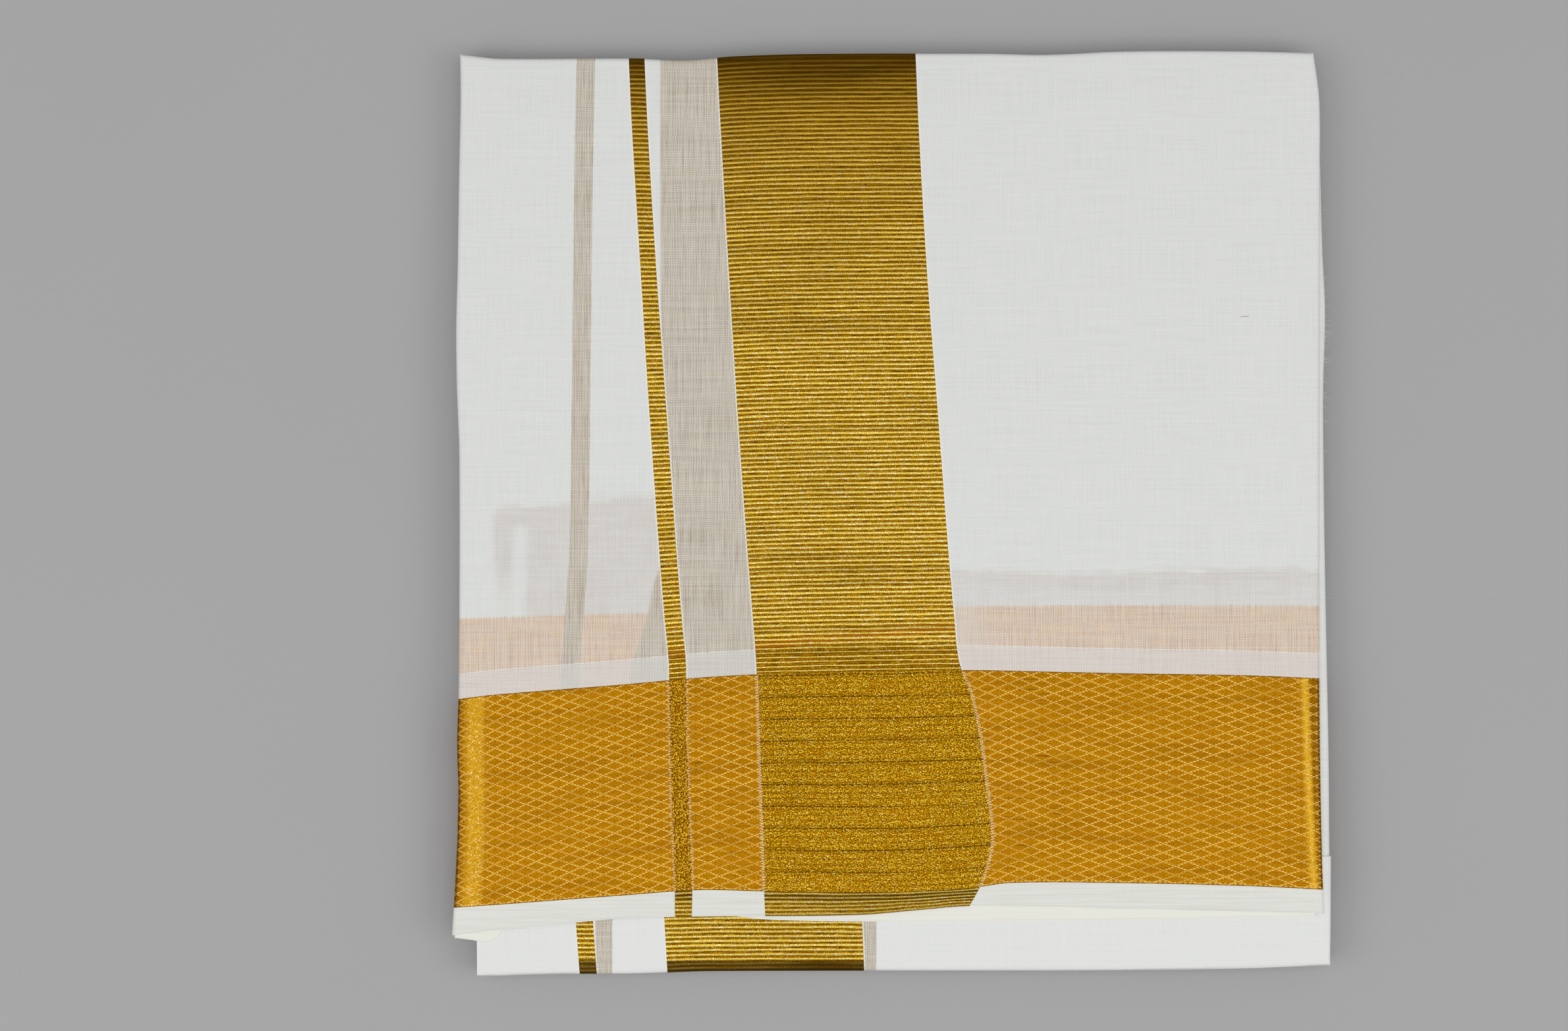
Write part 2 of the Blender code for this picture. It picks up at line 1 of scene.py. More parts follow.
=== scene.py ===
"""A dhoti cloth folded flat: fine white cotton with a gold zari border and a ribbed gold end band.

Everything is in metres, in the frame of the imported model. +X runs along the border to the right, +Y
from the selvedge at the front to the fold at the back, and the packet lies on Z = 0. Places read off
the cloth are kept in millimetres, as they were measured.

The cloth is one woven length, so each piece here is a stretch of it that shows: a thin shell laid on
the packet's form, with its own weave. Measures of the weave, such as the number of a rib or the
distance from the border, are kept on each piece's points, and its finish reads them there.
"""

import logging
import math
from collections.abc import Mapping, Sequence
from dataclasses import dataclass, field
from enum import Enum

import bpy
import numpy as np
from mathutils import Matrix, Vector

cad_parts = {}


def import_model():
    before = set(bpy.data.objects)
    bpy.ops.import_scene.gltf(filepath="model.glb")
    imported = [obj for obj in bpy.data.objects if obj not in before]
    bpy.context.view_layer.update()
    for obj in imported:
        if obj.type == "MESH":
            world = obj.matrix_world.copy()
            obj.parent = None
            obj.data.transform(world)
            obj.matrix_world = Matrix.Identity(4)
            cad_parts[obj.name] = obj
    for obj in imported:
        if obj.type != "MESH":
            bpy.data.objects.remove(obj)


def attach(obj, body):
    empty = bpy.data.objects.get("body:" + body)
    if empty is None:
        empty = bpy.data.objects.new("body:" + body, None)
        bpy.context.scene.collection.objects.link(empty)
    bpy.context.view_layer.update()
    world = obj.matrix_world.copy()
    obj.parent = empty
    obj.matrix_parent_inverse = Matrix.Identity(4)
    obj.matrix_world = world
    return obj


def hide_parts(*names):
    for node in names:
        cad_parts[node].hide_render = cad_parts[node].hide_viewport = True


log = logging.getLogger("dhoti")

MM = 0.001
BORDER_WIDTH = 76.2  # the border, in millimetres
RIB_PITCH = 1.62  # one weft rib of the end band, in millimetres
STITCH = 0.95  # one stitch beside the gold stripe and the crossing, in millimetres
FAR = 500.0  # the measure kept where nothing is near, in millimetres
SETTLE = 8  # rounds in which a stretch's grid settles between edges that depend on each other
SMOOTH_ANGLE = math.radians(50)  # edges bent less than this look smooth
GOLD_TINT = (1.0, 0.8, 0.35, 1.0)  # the warm glint of gold thread
Array = np.ndarray
Colour = tuple[float, float, float, float]


class Side(Enum):
    """The sides of a stretch of cloth."""

    LEFT = "left"
    RIGHT = "right"
    FRONT = "front"
    BACK = "back"


class Slot(Enum):
    """The record's material slots."""

    COTTON = "cotton"
    SELVEDGE = "selvedge"
    BAND = "band_zari"
    BORDER = "border_zari"
    CROSSING = "crossing_zari"


def ease(share: Array) -> Array:
    """Eases from 0 to 1, and holds both ends."""
    t = np.clip(share, 0.0, 1.0)
    return t * t * (3 - 2 * t)


def paint(red: float, green: float, blue: float, light: float = 0.87) -> Colour:
    """The colour that a surface has for it to be seen as this one, from 0 to 255 a channel.

    Args:
        red: Red, as seen.
        green: Green, as seen.
        blue: Blue, as seen.
        light: How much of the studio's light the surface gives back as white would.

    Returns:
        The linear colour with full alpha.
    """
    shares = [value / 255 for value in (red, green, blue)]
    linear = [v / 12.92 if v <= 0.04045 else ((v + 0.055) / 1.055) ** 2.4 for v in shares]
    return (min(linear[0] / light, 1.0), min(linear[1] / light, 1.0), min(linear[2] / light, 1.0), 1.0)


@dataclass(frozen=True)
class Edge:
    """One edge of the cloth: rows of a place and where the edge lies there, in millimetres."""

    rows: tuple[tuple[float, float], ...]
    shift: float = 0.0

    def __call__(self, place: Array) -> Array:
        """Reads the edge on a smooth curve through its rows.

        Args:
            place: Places along the edge, in metres.

        Returns:
            Where the edge lies at each place, in metres.
        """
        places = np.array([row[0] for row in self.rows]) * MM
        values = np.array([row[1] for row in self.rows]) * MM
        place = np.asarray(place, float)
        if len(places) == 1:
            return np.full_like(place, values[0]) + self.shift * MM
        low = np.concatenate(([0], np.arange(len(places) - 1)))
        high = np.concatenate((np.arange(1, len(places)), [len(places) - 1]))
        slopes = (values[high] - values[low]) / (places[high] - places[low])
        at = np.clip(place, places[0], places[-1])
        i = np.clip(np.searchsorted(places, at, side="right") - 1, 0, len(places) - 2)
        span = places[i + 1] - places[i]
        t = (at - places[i]) / span
        read = (
            values[i] * (2 * t**3 - 3 * t**2 + 1)
            + slopes[i] * span * (t**3 - 2 * t**2 + t)
            + values[i + 1] * (3 * t**2 - 2 * t**3)
            + slopes[i + 1] * span * (t**3 - t**2)
        )
        return read + self.shift * MM

    def moved(self, millimetres: float) -> "Edge":
        """The same edge, moved by some millimetres."""
        return Edge(self.rows, self.shift + millimetres)


def straight(millimetres: float) -> Edge:
    """A straight edge."""
    return Edge(((0.0, millimetres),))


@dataclass(frozen=True)
class Crease:
    """A crease pressed into the top face: a soft ridge along a line, in millimetres."""

    start: tuple[float, float]
    end: tuple[float, float]
    height: float
    width: float

    def rise(self, x: Array, y: Array) -> Array:
        """Height that the crease adds.

        Args:
            x: Places along the border, in metres.
            y: Places from the selvedge to the back, in metres.

        Returns:
            The added height at each place, in metres.
        """
        start, end = np.array(self.start) * MM, np.array(self.end) * MM
        length = float(np.hypot(*(end - start)))
        way = (end - start) / length
        along = ((x - start[0]) * way[0] + (y - start[1]) * way[1]) / length
        off = (x - start[0]) * -way[1] + (y - start[1]) * way[0]
        fade = ease(along / 0.25) * ease((1 - along) / 0.25)
        return self.height * MM * np.exp(-((off / (self.width * MM)) ** 2)) * fade


@dataclass(frozen=True)
class Packet:
    """The folded packet: the measured edges of its panels and woven zones, and the form of its top."""

    heights: Edge = Edge((
        (-165, 14.0), (-143, 15.6), (-118, 16.3), (-95, 16.5), (-55, 15.9), (0, 15.1), (80, 14.4),
        (140, 13.8), (165, 13.2),
    ))
    left: Edge = Edge((
        (-150, -156.9), (-131, -155.7), (-103, -154.5), (-82, -155.0), (-60, -154.4), (20, -154.3),
        (45, -155.2), (66, -155.5), (87, -155.0), (122, -154.5), (148, -154.0), (165, -154.2),
    ))
    right: Edge = Edge((
        (-150, 154.6), (-131, 153.5), (-103, 152.7), (-82, 152.4), (-60, 152.3), (20, 152.4),
        (45, 152.5), (66, 152.6), (87, 152.6), (122, 152.7), (148, 152.6), (165, 150.5),
    ))
    next_right: Edge = Edge((
        (-150, 156.5), (-117, 156.0), (-82, 155.7), (-40, 155.0), (9, 154.3), (44, 154.1), (72, 154.8),
        (95, 153.8), (122, 153.1), (148, 152.2), (165, 150.5),
    ))
    stack_left: Edge = Edge(
        ((-165, -147.8), (-150, -148.0), (-136, -154.4), (-60, -154.2), (66, -155.2), (165, -154.0))
    )
    back: Edge = Edge((
        (-157, 164.4), (-150, 163.6), (-140, 162.6), (-92, 162.6), (-74, 161.9), (-57, 163.3),
        (-29, 164.2), (34, 164.4), (55, 164.0), (84, 165.2), (126, 165.2), (157, 164.4),
    ))
    hem: Edge = Edge((
        (-157, -150.3), (-138, -148.0), (-123, -146.6), (-97, -144.1), (-69, -143.3), (-13, -142.8),
        (11, -140.9), (28, -139.6), (90, -140.7), (157, -142.4),
    ))
    second_hem: Edge = Edge(
        ((-138, -145.2), (-97, -141.8), (-66, -142.2), (-42, -144.6), (34, -145.2), (157, -143.4))
    )
    tier_fold: Edge = Edge((
        (-157, -165.2), (-142, -165.0), (-120, -164.3), (-92, -164.1), (-64, -163.2), (69, -163.0),
        (126, -162.3), (157, -161.2),
    ))
    border_back: Edge = Edge((
        (-157, -66.3), (-142, -64.4), (-97, -60.8), (-69, -58.3), (-46, -57.0), (0, -56.0), (28, -55.6),
        (42, -55.8), (81, -56.7), (128, -57.5), (157, -58.8),
    ))
    border_front: Edge = Edge((
        (-157, -140.4), (-142, -139.3), (-97, -135.9), (-69, -133.9), (-46, -134.3), (0, -134.6),
        (28, -133.2), (42, -131.4), (81, -131.4), (128, -132.5), (157, -134.0),
    ))
    stripe_left: Edge = Edge((
        (-143, -77.3), (-131, -77.4), (-117, -78.0), (-98, -78.8), (-76, -79.3), (-62, -79.5),
        (-53, -79.5), (-36, -81.1), (-12, -83.0), (37, -86.5), (87, -89.6), (136, -92.6), (165, -94.0),
    ))
    stripe_right: Edge = Edge((
        (-143, -71.3), (-131, -71.1), (-117, -71.6), (-98, -72.3), (-76, -72.9), (-62, -73.3),
        (-53, -73.4), (-36, -75.0), (-12, -76.9), (37, -80.4), (87, -84.0), (136, -87.0), (165, -88.4),
    ))
    band_left: Edge = Edge((
        (-143, -45.2), (-131, -45.7), (-117, -46.2), (-98, -46.9), (-76, -47.6), (-62, -48.1),
        (-53, -48.4), (-36, -49.7), (-12, -51.6), (37, -55.1), (87, -58.2), (136, -61.0), (165, -62.5),
    ))
    band_right: Edge = Edge((
        (-143, 25.6), (-131, 32.0), (-117, 35.6), (-98, 33.9), (-76, 30.9), (-62, 27.6), (-53, 23.9),
        (-36, 22.0), (-12, 19.9), (37, 16.2), (87, 12.4), (136, 9.6), (165, 8.4),
    ))
    creases: tuple[Crease, ...] = (
        Crease((68.0, 170.0), (106.0, 134.0), 0.22, 1.6),
        Crease((104.0, 160.0), (110.0, 60.0), 0.08, 5.0),
        Crease((56.0, 46.0), (139.0, 89.0), 0.07, 1.3),
        Crease((-130.0, 150.0), (-124.0, 10.0), 0.08, 4.0),
        Crease((-150.0, -20.0), (-90.0, -30.0), 0.08, 4.0),
        Crease((40.0, -100.0), (150.0, -104.0), 0.06, 6.0),
    )
    shoulder_drop: float = 0.8
    shoulder_width: float = 20.0
    swell: float = 0.3
    swell_length: float = 190.0
    swell_depth: float = 240.0
    swell_start: float = 0.6
    ripple: float = 0.035
    ripple_step: tuple[float, float] = (11.3, 14.7)
    ripple_bend: tuple[float, float] = (31.0, 43.0)

    def top(self, x: Array, y: Array) -> Array:
        """Height of the packet's top face, with its swell, its shoulders at the folds and its creases.

        Args:
            x: Places along the border, in metres.
            y: Places from the selvedge to the back, in metres.

        Returns:
            The height at each place, in metres.
        """
        to_side = np.minimum(np.minimum(x - self.left(y), self.next_right(y) - x), self.back(x) - y)
        shoulder = self.shoulder_drop * MM * (1 - ease(to_side / (self.shoulder_width * MM)))
        along = math.tau * x / (self.swell_length * MM)
        across = math.tau * y / (self.swell_depth * MM)
        height = self.heights(y) - shoulder
        height += self.swell * MM * np.sin(along + self.swell_start) * np.cos(across)
        (step_x, step_y), (bend_x, bend_y) = self.ripple_step, self.ripple_bend
        waves = np.sin(x / (step_x * MM) + 2.1 * np.sin(y / (bend_x * MM)))
        waves += np.sin(y / (step_y * MM) + 1.7 * np.sin(x / (bend_y * MM)))
        height += self.ripple * MM * waves
        for crease in self.creases:
            height += crease.rise(x, y)
        return height


PACKET = Packet()


@dataclass(frozen=True)
class TierZones:
    """The woven zones on the lower tier, in millimetres."""

    stripe_left: Edge = Edge(((-165, -111.3), (-122, -114.3)))
    stripe_right: Edge = Edge(((-165, -105.2), (-122, -108.1)))
    band_left: Edge = Edge(((-165, -80.0), (-122, -82.3)))
    band_right: Edge = Edge(((-165, -9.8), (-122, -11.7)))


@dataclass
class Patch:
    """A laid stretch of cloth: a grid of points, the way each faces, and its place in the flat cloth."""

    points: Array
    facing: Array
    flat: Array
    share_along: Array
    turned: Array

    @property
    def x(self) -> Array:
        """Place of each point along the border."""
        return self.points[..., 0]

    @property
    def y(self) -> Array:
        """Place of each point from the selvedge to the back."""
        return self.points[..., 1]

    def cut(self) -> tuple[float, float, float]:
        """Measures the flat cut.

        Returns:
            Its width, length and area, in metres and square metres.
        """
        u, v = self.flat[..., 0], self.flat[..., 1]
        width = float(np.max(u[:, -1] - u[:, 0]))
        length = float(np.max(v[-1] - v[0]))
        across = self.flat[:-1, 1:] - self.flat[1:, :-1]
        along = self.flat[1:, 1:] - self.flat[:-1, :-1]
        area = 0.5 * np.abs(across[..., 0] * along[..., 1] - across[..., 1] * along[..., 0]).sum()
        return width, length, float(min(area, width * length))


@dataclass
class Stretch:
    """A stretch of cloth between four edges, some of them folded over.

    folds gives the radius of each folded side in millimetres, drop how far the stretch lies below the
    packet's top face, columns and rows its grid, and turn how far a folded side turns over.
    """

    left: Edge
    right: Edge
    front: Edge
    back: Edge
    folds: Mapping[Side, float] = field(default_factory=dict)
    drop: float = 0.0
    columns: int = 12
    rows: int = 12
    turn: float = math.radians(110)
    fold_steps: int = 6
    faces_down: bool = False

    def _stations(self, cells: int, low: Side, high: Side) -> tuple[Array, Array, Array]:
        """Places the grid's lines between two sides.

        Args:
            cells: Number of cells between the sides' folds.
            low: The side where the grid starts.
            high: The side where it ends.

        Returns:
            Each line's share of the flat part, fold radius in metres, and turn.
        """
        turns = self.turn * np.arange(1, self.fold_steps + 1) / self.fold_steps
        share, radius, turn = [np.linspace(0, 1, cells + 1)], [np.zeros(cells + 1)], [np.zeros(cells + 1)]
        if self.folds.get(low):
            share.insert(0, np.zeros(self.fold_steps))
            radius.insert(0, np.full(self.fold_steps, self.folds[low] * MM))
            turn.insert(0, -turns[::-1])
        if self.folds.get(high):
            share.append(np.ones(self.fold_steps))
            radius.append(np.full(self.fold_steps, self.folds[high] * MM))
            turn.append(turns)
        return np.concatenate(share), np.concatenate(radius), np.concatenate(turn)

    def lay(self) -> Patch:
        """Lays the stretch on the packet.

        Returns:
            The laid grid.
        """
        across = self._stations(self.columns, Side.LEFT, Side.RIGHT)
        along = self._stations(self.rows, Side.FRONT, Side.BACK)
        shape = (len(along[0]), len(across[0]))
        share_c, radius_c, turn_c = (np.broadcast_to(line, shape) for line in across)
        share_r, radius_r, turn_r = (np.broadcast_to(line[:, None], shape) for line in along)
        inset = {side: self.folds.get(side, 0.0) * MM for side in Side}
        x, y = np.zeros(shape), self.front(0.0) + (self.back(0.0) - self.front(0.0)) * share_r
        flat_x, flat_y = x, y
        for _ in range(SETTLE):
            low, high = self.left(y) + inset[Side.LEFT], self.right(y) - inset[Side.RIGHT]
            flat_x = low + (high - low) * share_c
            x = flat_x + radius_c * np.sin(turn_c)
            near, far = self.front(x) + inset[Side.FRONT], self.back(x) - inset[Side.BACK]
            flat_y = near + (far - near) * share_r
            y = flat_y + radius_r * np.sin(turn_r)
        round_off = np.maximum(radius_c * (1 - np.cos(turn_c)), radius_r * (1 - np.cos(turn_r)))
        flatness = np.minimum(np.cos(turn_c), np.cos(turn_r))
        if self.faces_down:
            height, upward = round_off + self.drop * MM, -flatness
        else:
            height, upward = PACKET.top(flat_x, flat_y) - self.drop * MM - round_off, flatness
        facing = np.stack((np.sin(turn_c), np.sin(turn_r), upward), axis=-1)
        facing /= np.linalg.norm(facing, axis=-1, keepdims=True)
        flat = np.stack((flat_x + radius_c * turn_c, flat_y + radius_r * turn_r), axis=-1)
        points = np.stack((x, y, height), axis=-1)
        turned = np.maximum(np.abs(turn_c), np.abs(turn_r))
        return Patch(points, facing, flat, share_r, turned)


@dataclass
class Cloth:
    """Makes a thin shell of cloth from a laid stretch.

    measures are read by the finish, relief lifts each point in metres, and thickness is in millimetres.
    """

    name: str
    patch: Patch
    measures: Mapping[str, Array] = field(default_factory=dict)
    relief: Array | float = 0.0
    thickness: float = 0.32
    faces_down: bool = False

    def make(self) -> bpy.types.Object:
        """Builds the shell, with its flat place as a UV map and its measures on its points.

        Returns:
            The new object.
        """
        patch = self.patch
        points = patch.points + patch.facing * np.asarray(self.relief)[..., None]
        rows, columns = points.shape[:2]
        index = np.arange(rows * columns).reshape(rows, columns)
        quads = np.stack((index[:-1, :-1], index[:-1, 1:], index[1:, 1:], index[1:, :-1]), axis=-1)
        quads = quads.reshape(-1, 4)
        if self.faces_down:
            quads = quads[:, ::-1]
        mesh = bpy.data.meshes.new(self.name + "_cloth")
        mesh.from_pydata(points.reshape(-1, 3).tolist(), [], quads.tolist())
        uv = mesh.uv_layers.new(name="Flat")
        loops = np.zeros(len(mesh.loops), np.int32)
        mesh.loops.foreach_get("vertex_index", loops)
        uv.data.foreach_set("uv", patch.flat.reshape(-1, 2)[loops].astype(np.float32).ravel())
        for name, values in self.measures.items():
            note(mesh, name, np.broadcast_to(values, (rows, columns)))
        thing = bpy.data.objects.new(mesh.name, mesh)
        bpy.context.scene.collection.objects.link(thing)
        pick(thing)
        wall = thing.modifiers.new("Thickness", "SOLIDIFY")
        wall.thickness = self.thickness * MM
        wall.offset = -1.0
        bpy.ops.object.modifier_apply(modifier=wall.name)
        bpy.ops.object.shade_smooth_by_angle(angle=SMOOTH_ANGLE)
        return thing


def note(mesh: bpy.types.Mesh, name: str, values: Array) -> None:
    """Keeps a measure on a mesh's points.

    Args:
        mesh: The mesh.
        name: The measure's name, by which a finish reads it.
        values: Its value at each point, in the points' order.
    """
    column = mesh.attributes.new(name, "FLOAT", "POINT")
    column.data.foreach_set("value", values.astype(np.float32).ravel())


def pick(*things: bpy.types.Object) -> None:
    """Selects these objects and nothing else, the last one active.

    Args:
        things: The objects.
    """
    bpy.ops.object.select_all(action="DESELECT")
    for thing in things:
        thing.select_set(True)
        bpy.context.view_layer.objects.active = thing


class Wire:
    """A socket of a shader tree that takes part in Python expressions."""

    def __init__(self, bench: "Bench", socket: bpy.types.NodeSocket) -> None:
        """Keeps the socket and the tree that it belongs to."""
        self.bench = bench
        self.socket = socket

    def _maths(self, operation: str, *values: "Wire | float") -> "Wire":
        """Adds a Math node.

        Args:
            operation: What it works out.
            values: What it takes.

        Returns:
            Its result.
        """
        sockets = dict(enumerate(values))
        node = self.bench.node("ShaderNodeMath", {"operation": operation}, sockets)
        return Wire(self.bench, node.outputs[0])

    def __add__(self, other: "Wire | float") -> "Wire":
        """This plus the other."""
        return self._maths("ADD", self, other)

    __radd__ = __add__

    def __sub__(self, other: "Wire | float") -> "Wire":
        """This less the other."""
        return self._maths("SUBTRACT", self, other)

    def __rsub__(self, other: "Wire | float") -> "Wire":
        """The other less this."""
        return self._maths("SUBTRACT", other, self)

    def __mul__(self, other: "Wire | float") -> "Wire":
        """This times the other."""
        return self._maths("MULTIPLY", self, other)

    def __truediv__(self, other: "Wire | float") -> "Wire":
        """This over the other."""
        return self._maths("DIVIDE", self, other)

    def __abs__(self) -> "Wire":
        """The size of this, without its sign."""
        return self._maths("ABSOLUTE", self)

    def whole(self) -> "Wire":
        """The whole number below this."""
        return self._maths("FLOOR", self)

    def rest(self) -> "Wire":
        """What is left of this above its whole number."""
        return self._maths("FRACT", self)

    def most(self, other: "Wire | float") -> "Wire":
        """The greater of the two."""
        return self._maths("MAXIMUM", self, other)

    def least(self, other: "Wire | float") -> "Wire":
        """The lesser of the two."""
        return self._maths("MINIMUM", self, other)

    def wave(self) -> "Wire":
        """A wave from 0 to 1 and back for each whole step of this."""
        return self._maths("SINE", self * math.tau) * 0.5 + 0.5

    def rise(self, low: float, high: float) -> "Wire":
        """Goes smoothly from 0 to 1.

        Args:
            low: Where this gives 0.
            high: Where this gives 1. It may be the lesser of the two.

        Returns:
            The share of the way.
        """
        settings = {"interpolation_type": "SMOOTHSTEP"}
        sockets = {"Value": self, "From Min": low, "From Max": high}
        return Wire(self.bench, self.bench.node("ShaderNodeMapRange", settings, sockets).outputs[0])

    def within(self, half: float, soft: float) -> "Wire":
        """1 where this is nearer to 0 than half, with a soft rim."""
        return abs(self).rise(half + soft, half - soft)

    def to_line(self) -> "Wire":
        """Distance from this to the nearest whole number, from 0 to 0.5."""
        return abs((self + 0.5).rest() - 0.5)


class Bench:
    """Where one material is made up, from its shader out."""

    def __init__(self, name: str) -> None:
        """Starts a material with its main shader alone.

        Args:
            name: The material's name.
        """
        self.material = bpy.data.materials.new(name)
        self.material.use_nodes = True
        self.tree = self.material.node_tree
        self.shader = self.tree.nodes["Principled BSDF"]

    def node(
        self,
        kind: str,
        settings: Mapping[str, object] | None = None,
        sockets: Mapping[str | int, object] | None = None,
    ) -> bpy.types.Node:
        """Adds a node.

        Args:
            kind: The node's type.
            settings: Its settings, set first.
            sockets: Values or links of its sockets, by name or number.

        Returns:
            The new node.
        """
        node = self.tree.nodes.new(kind)
        for name, value in (settings or {}).items():
            setattr(node, name, value)
        for name, value in (sockets or {}).items():
            self.feed(node.inputs[name], value)
        return node

    def feed(self, socket: bpy.types.NodeSocket, value: object) -> None:
        """Sets a socket to a value, or links it.

        Args:
            socket: The socket.
            value: A wire, or a value of the socket's own kind.
        """
        if isinstance(value, Wire):
            self.tree.links.new(value.socket, socket)
        else:
            socket.default_value = value

    def measure(self, name: str) -> Wire:
        """A measure kept on the piece's points."""
        node = self.node("ShaderNodeAttribute", {"attribute_name": name})
        return Wire(self, node.outputs["Fac"])

    def flat(self) -> tuple[Wire, Wire]:
        """Reads the place in the flat cloth.

        Returns:
            The places along the border and across the cloth, in millimetres.
        """
        spot = self.node("ShaderNodeUVMap", {"uv_map": "Flat"})
        return self._parts(spot.outputs[0])[:2]

    def place(self) -> tuple[Wire, Wire, Wire]:
        """Reads the place on the object.

        Returns:
            The places along each axis, in millimetres.
        """
        return self._parts(self.node("ShaderNodeTexCoord").outputs["Object"])

    def _parts(self, vector: bpy.types.NodeSocket) -> tuple[Wire, Wire, Wire]:
        """Takes a place apart.

        Args:
            vector: The place, in metres.

        Returns:
            Its three parts, in millimetres.
        """
        parts = self.node("ShaderNodeSeparateXYZ", None, {0: Wire(self, vector)})
        x, y, z = (Wire(self, parts.outputs[i]) * (1 / MM) for i in range(3))
        return x, y, z

    def point(self, x: Wire | float, y: Wire | float) -> Wire:
        """A place on a plane, from its two parts."""
        return Wire(self, self.node("ShaderNodeCombineXYZ", None, {0: x, 1: y}).outputs[0])

    def noise(self, x: Wire, y: Wire, detail: float = 2.0, rough: float = 0.5) -> Wire:
        """Soft random values about 0.5.

        Args:
            x: One lump for each whole step of this.
            y: And of this.
            detail: How many times finer lumps are laid over the first.
            rough: How strong the finer ones are.

        Returns:
            The value.
        """
        settings = {"noise_dimensions": "2D"}
        sockets = {"Vector": self.point(x, y), "Scale": 1.0, "Detail": detail, "Roughness": rough}
        return Wire(self, self.node("ShaderNodeTexNoise", settings, sockets).outputs[0])

    def chance(self, x: Wire, y: Wire | float) -> Wire:
        """A random value for each cell of a grid.

        Args:
            x: One cell for each whole step of this.
            y: And of this, or a number for a single row.

        Returns:
            The cell's value, from 0 to 1.
        """
        settings = {"noise_dimensions": "2D"}
        spot = self.point(x.whole(), y.whole() if isinstance(y, Wire) else y)
        return Wire(self, self.node("ShaderNodeTexWhiteNoise", settings, {"Vector": spot}).outputs[0])

    def grains(self, x: Wire, y: Wire) -> tuple[Wire, Wire]:
        """Grains one whole step apart.

        Args:
            x: Place across them.
            y: Place along them.

        Returns:
            Distance from the nearest grain's middle, and that grain's own random value.
        """
        settings = {"voronoi_dimensions": "2D", "feature": "F1"}
        node = self.node("ShaderNodeTexVoronoi", settings, {"Vector": self.point(x, y), "Scale": 1.0})
        parts = self.node("ShaderNodeSeparateColor", None, {0: Wire(self, node.outputs["Color"])})
        return Wire(self, node.outputs["Distance"]), Wire(self, parts.outputs[0])

    def blend(self, share: Wire | float, first: Wire | Colour, second: Wire | Colour) -> Wire:
        """Mixes two colours.

        Args:
            share: How much of the second, from 0 to 1.
            first: The first colour.
            second: The second colour.

        Returns:
            The mixed colour.
        """
        sockets = {0: share, 6: first, 7: second}
        node = self.node("ShaderNodeMix", {"data_type": "RGBA", "clamp_factor": True}, sockets)
        return Wire(self, node.outputs[2])

    def relief(self, height: Wire, millimetres: float, strength: float = 1.0) -> Wire:
        """A normal bent by a height, whose full range stands that many millimetres proud."""
        sockets = {"Strength": strength, "Distance": millimetres * MM, "Height": height}
        return Wire(self, self.node("ShaderNodeBump", None, sockets).outputs[0])

    def finish(self, **sockets: object) -> bpy.types.Material:
        """Feeds the main shader's sockets, with spaces in their names written as underscores.

        Args:
            sockets: Values or links by the socket's name.

        Returns:
            The finished material.
        """
        for name, value in sockets.items():
            self.feed(self.shader.inputs[name.replace("_", " ")], value)
        return self.material

    def gild(self, tone: Wire, roughness: float, metallic: float, normal: Wire) -> bpy.types.Material:
        """Finishes the material as gold thread, which glints warm.

        Args:
            tone: Its colour.
            roughness: How dull it is.
            metallic: How much of it is metal.
            normal: Its bent normal.

        Returns:
            The finished material.
        """
        return self.finish(
            Base_Color=tone,
            Roughness=roughness,
            Metallic=metallic,
            Specular_IOR_Level=0.2,
            Specular_Tint=GOLD_TINT,
            Normal=normal,
        )


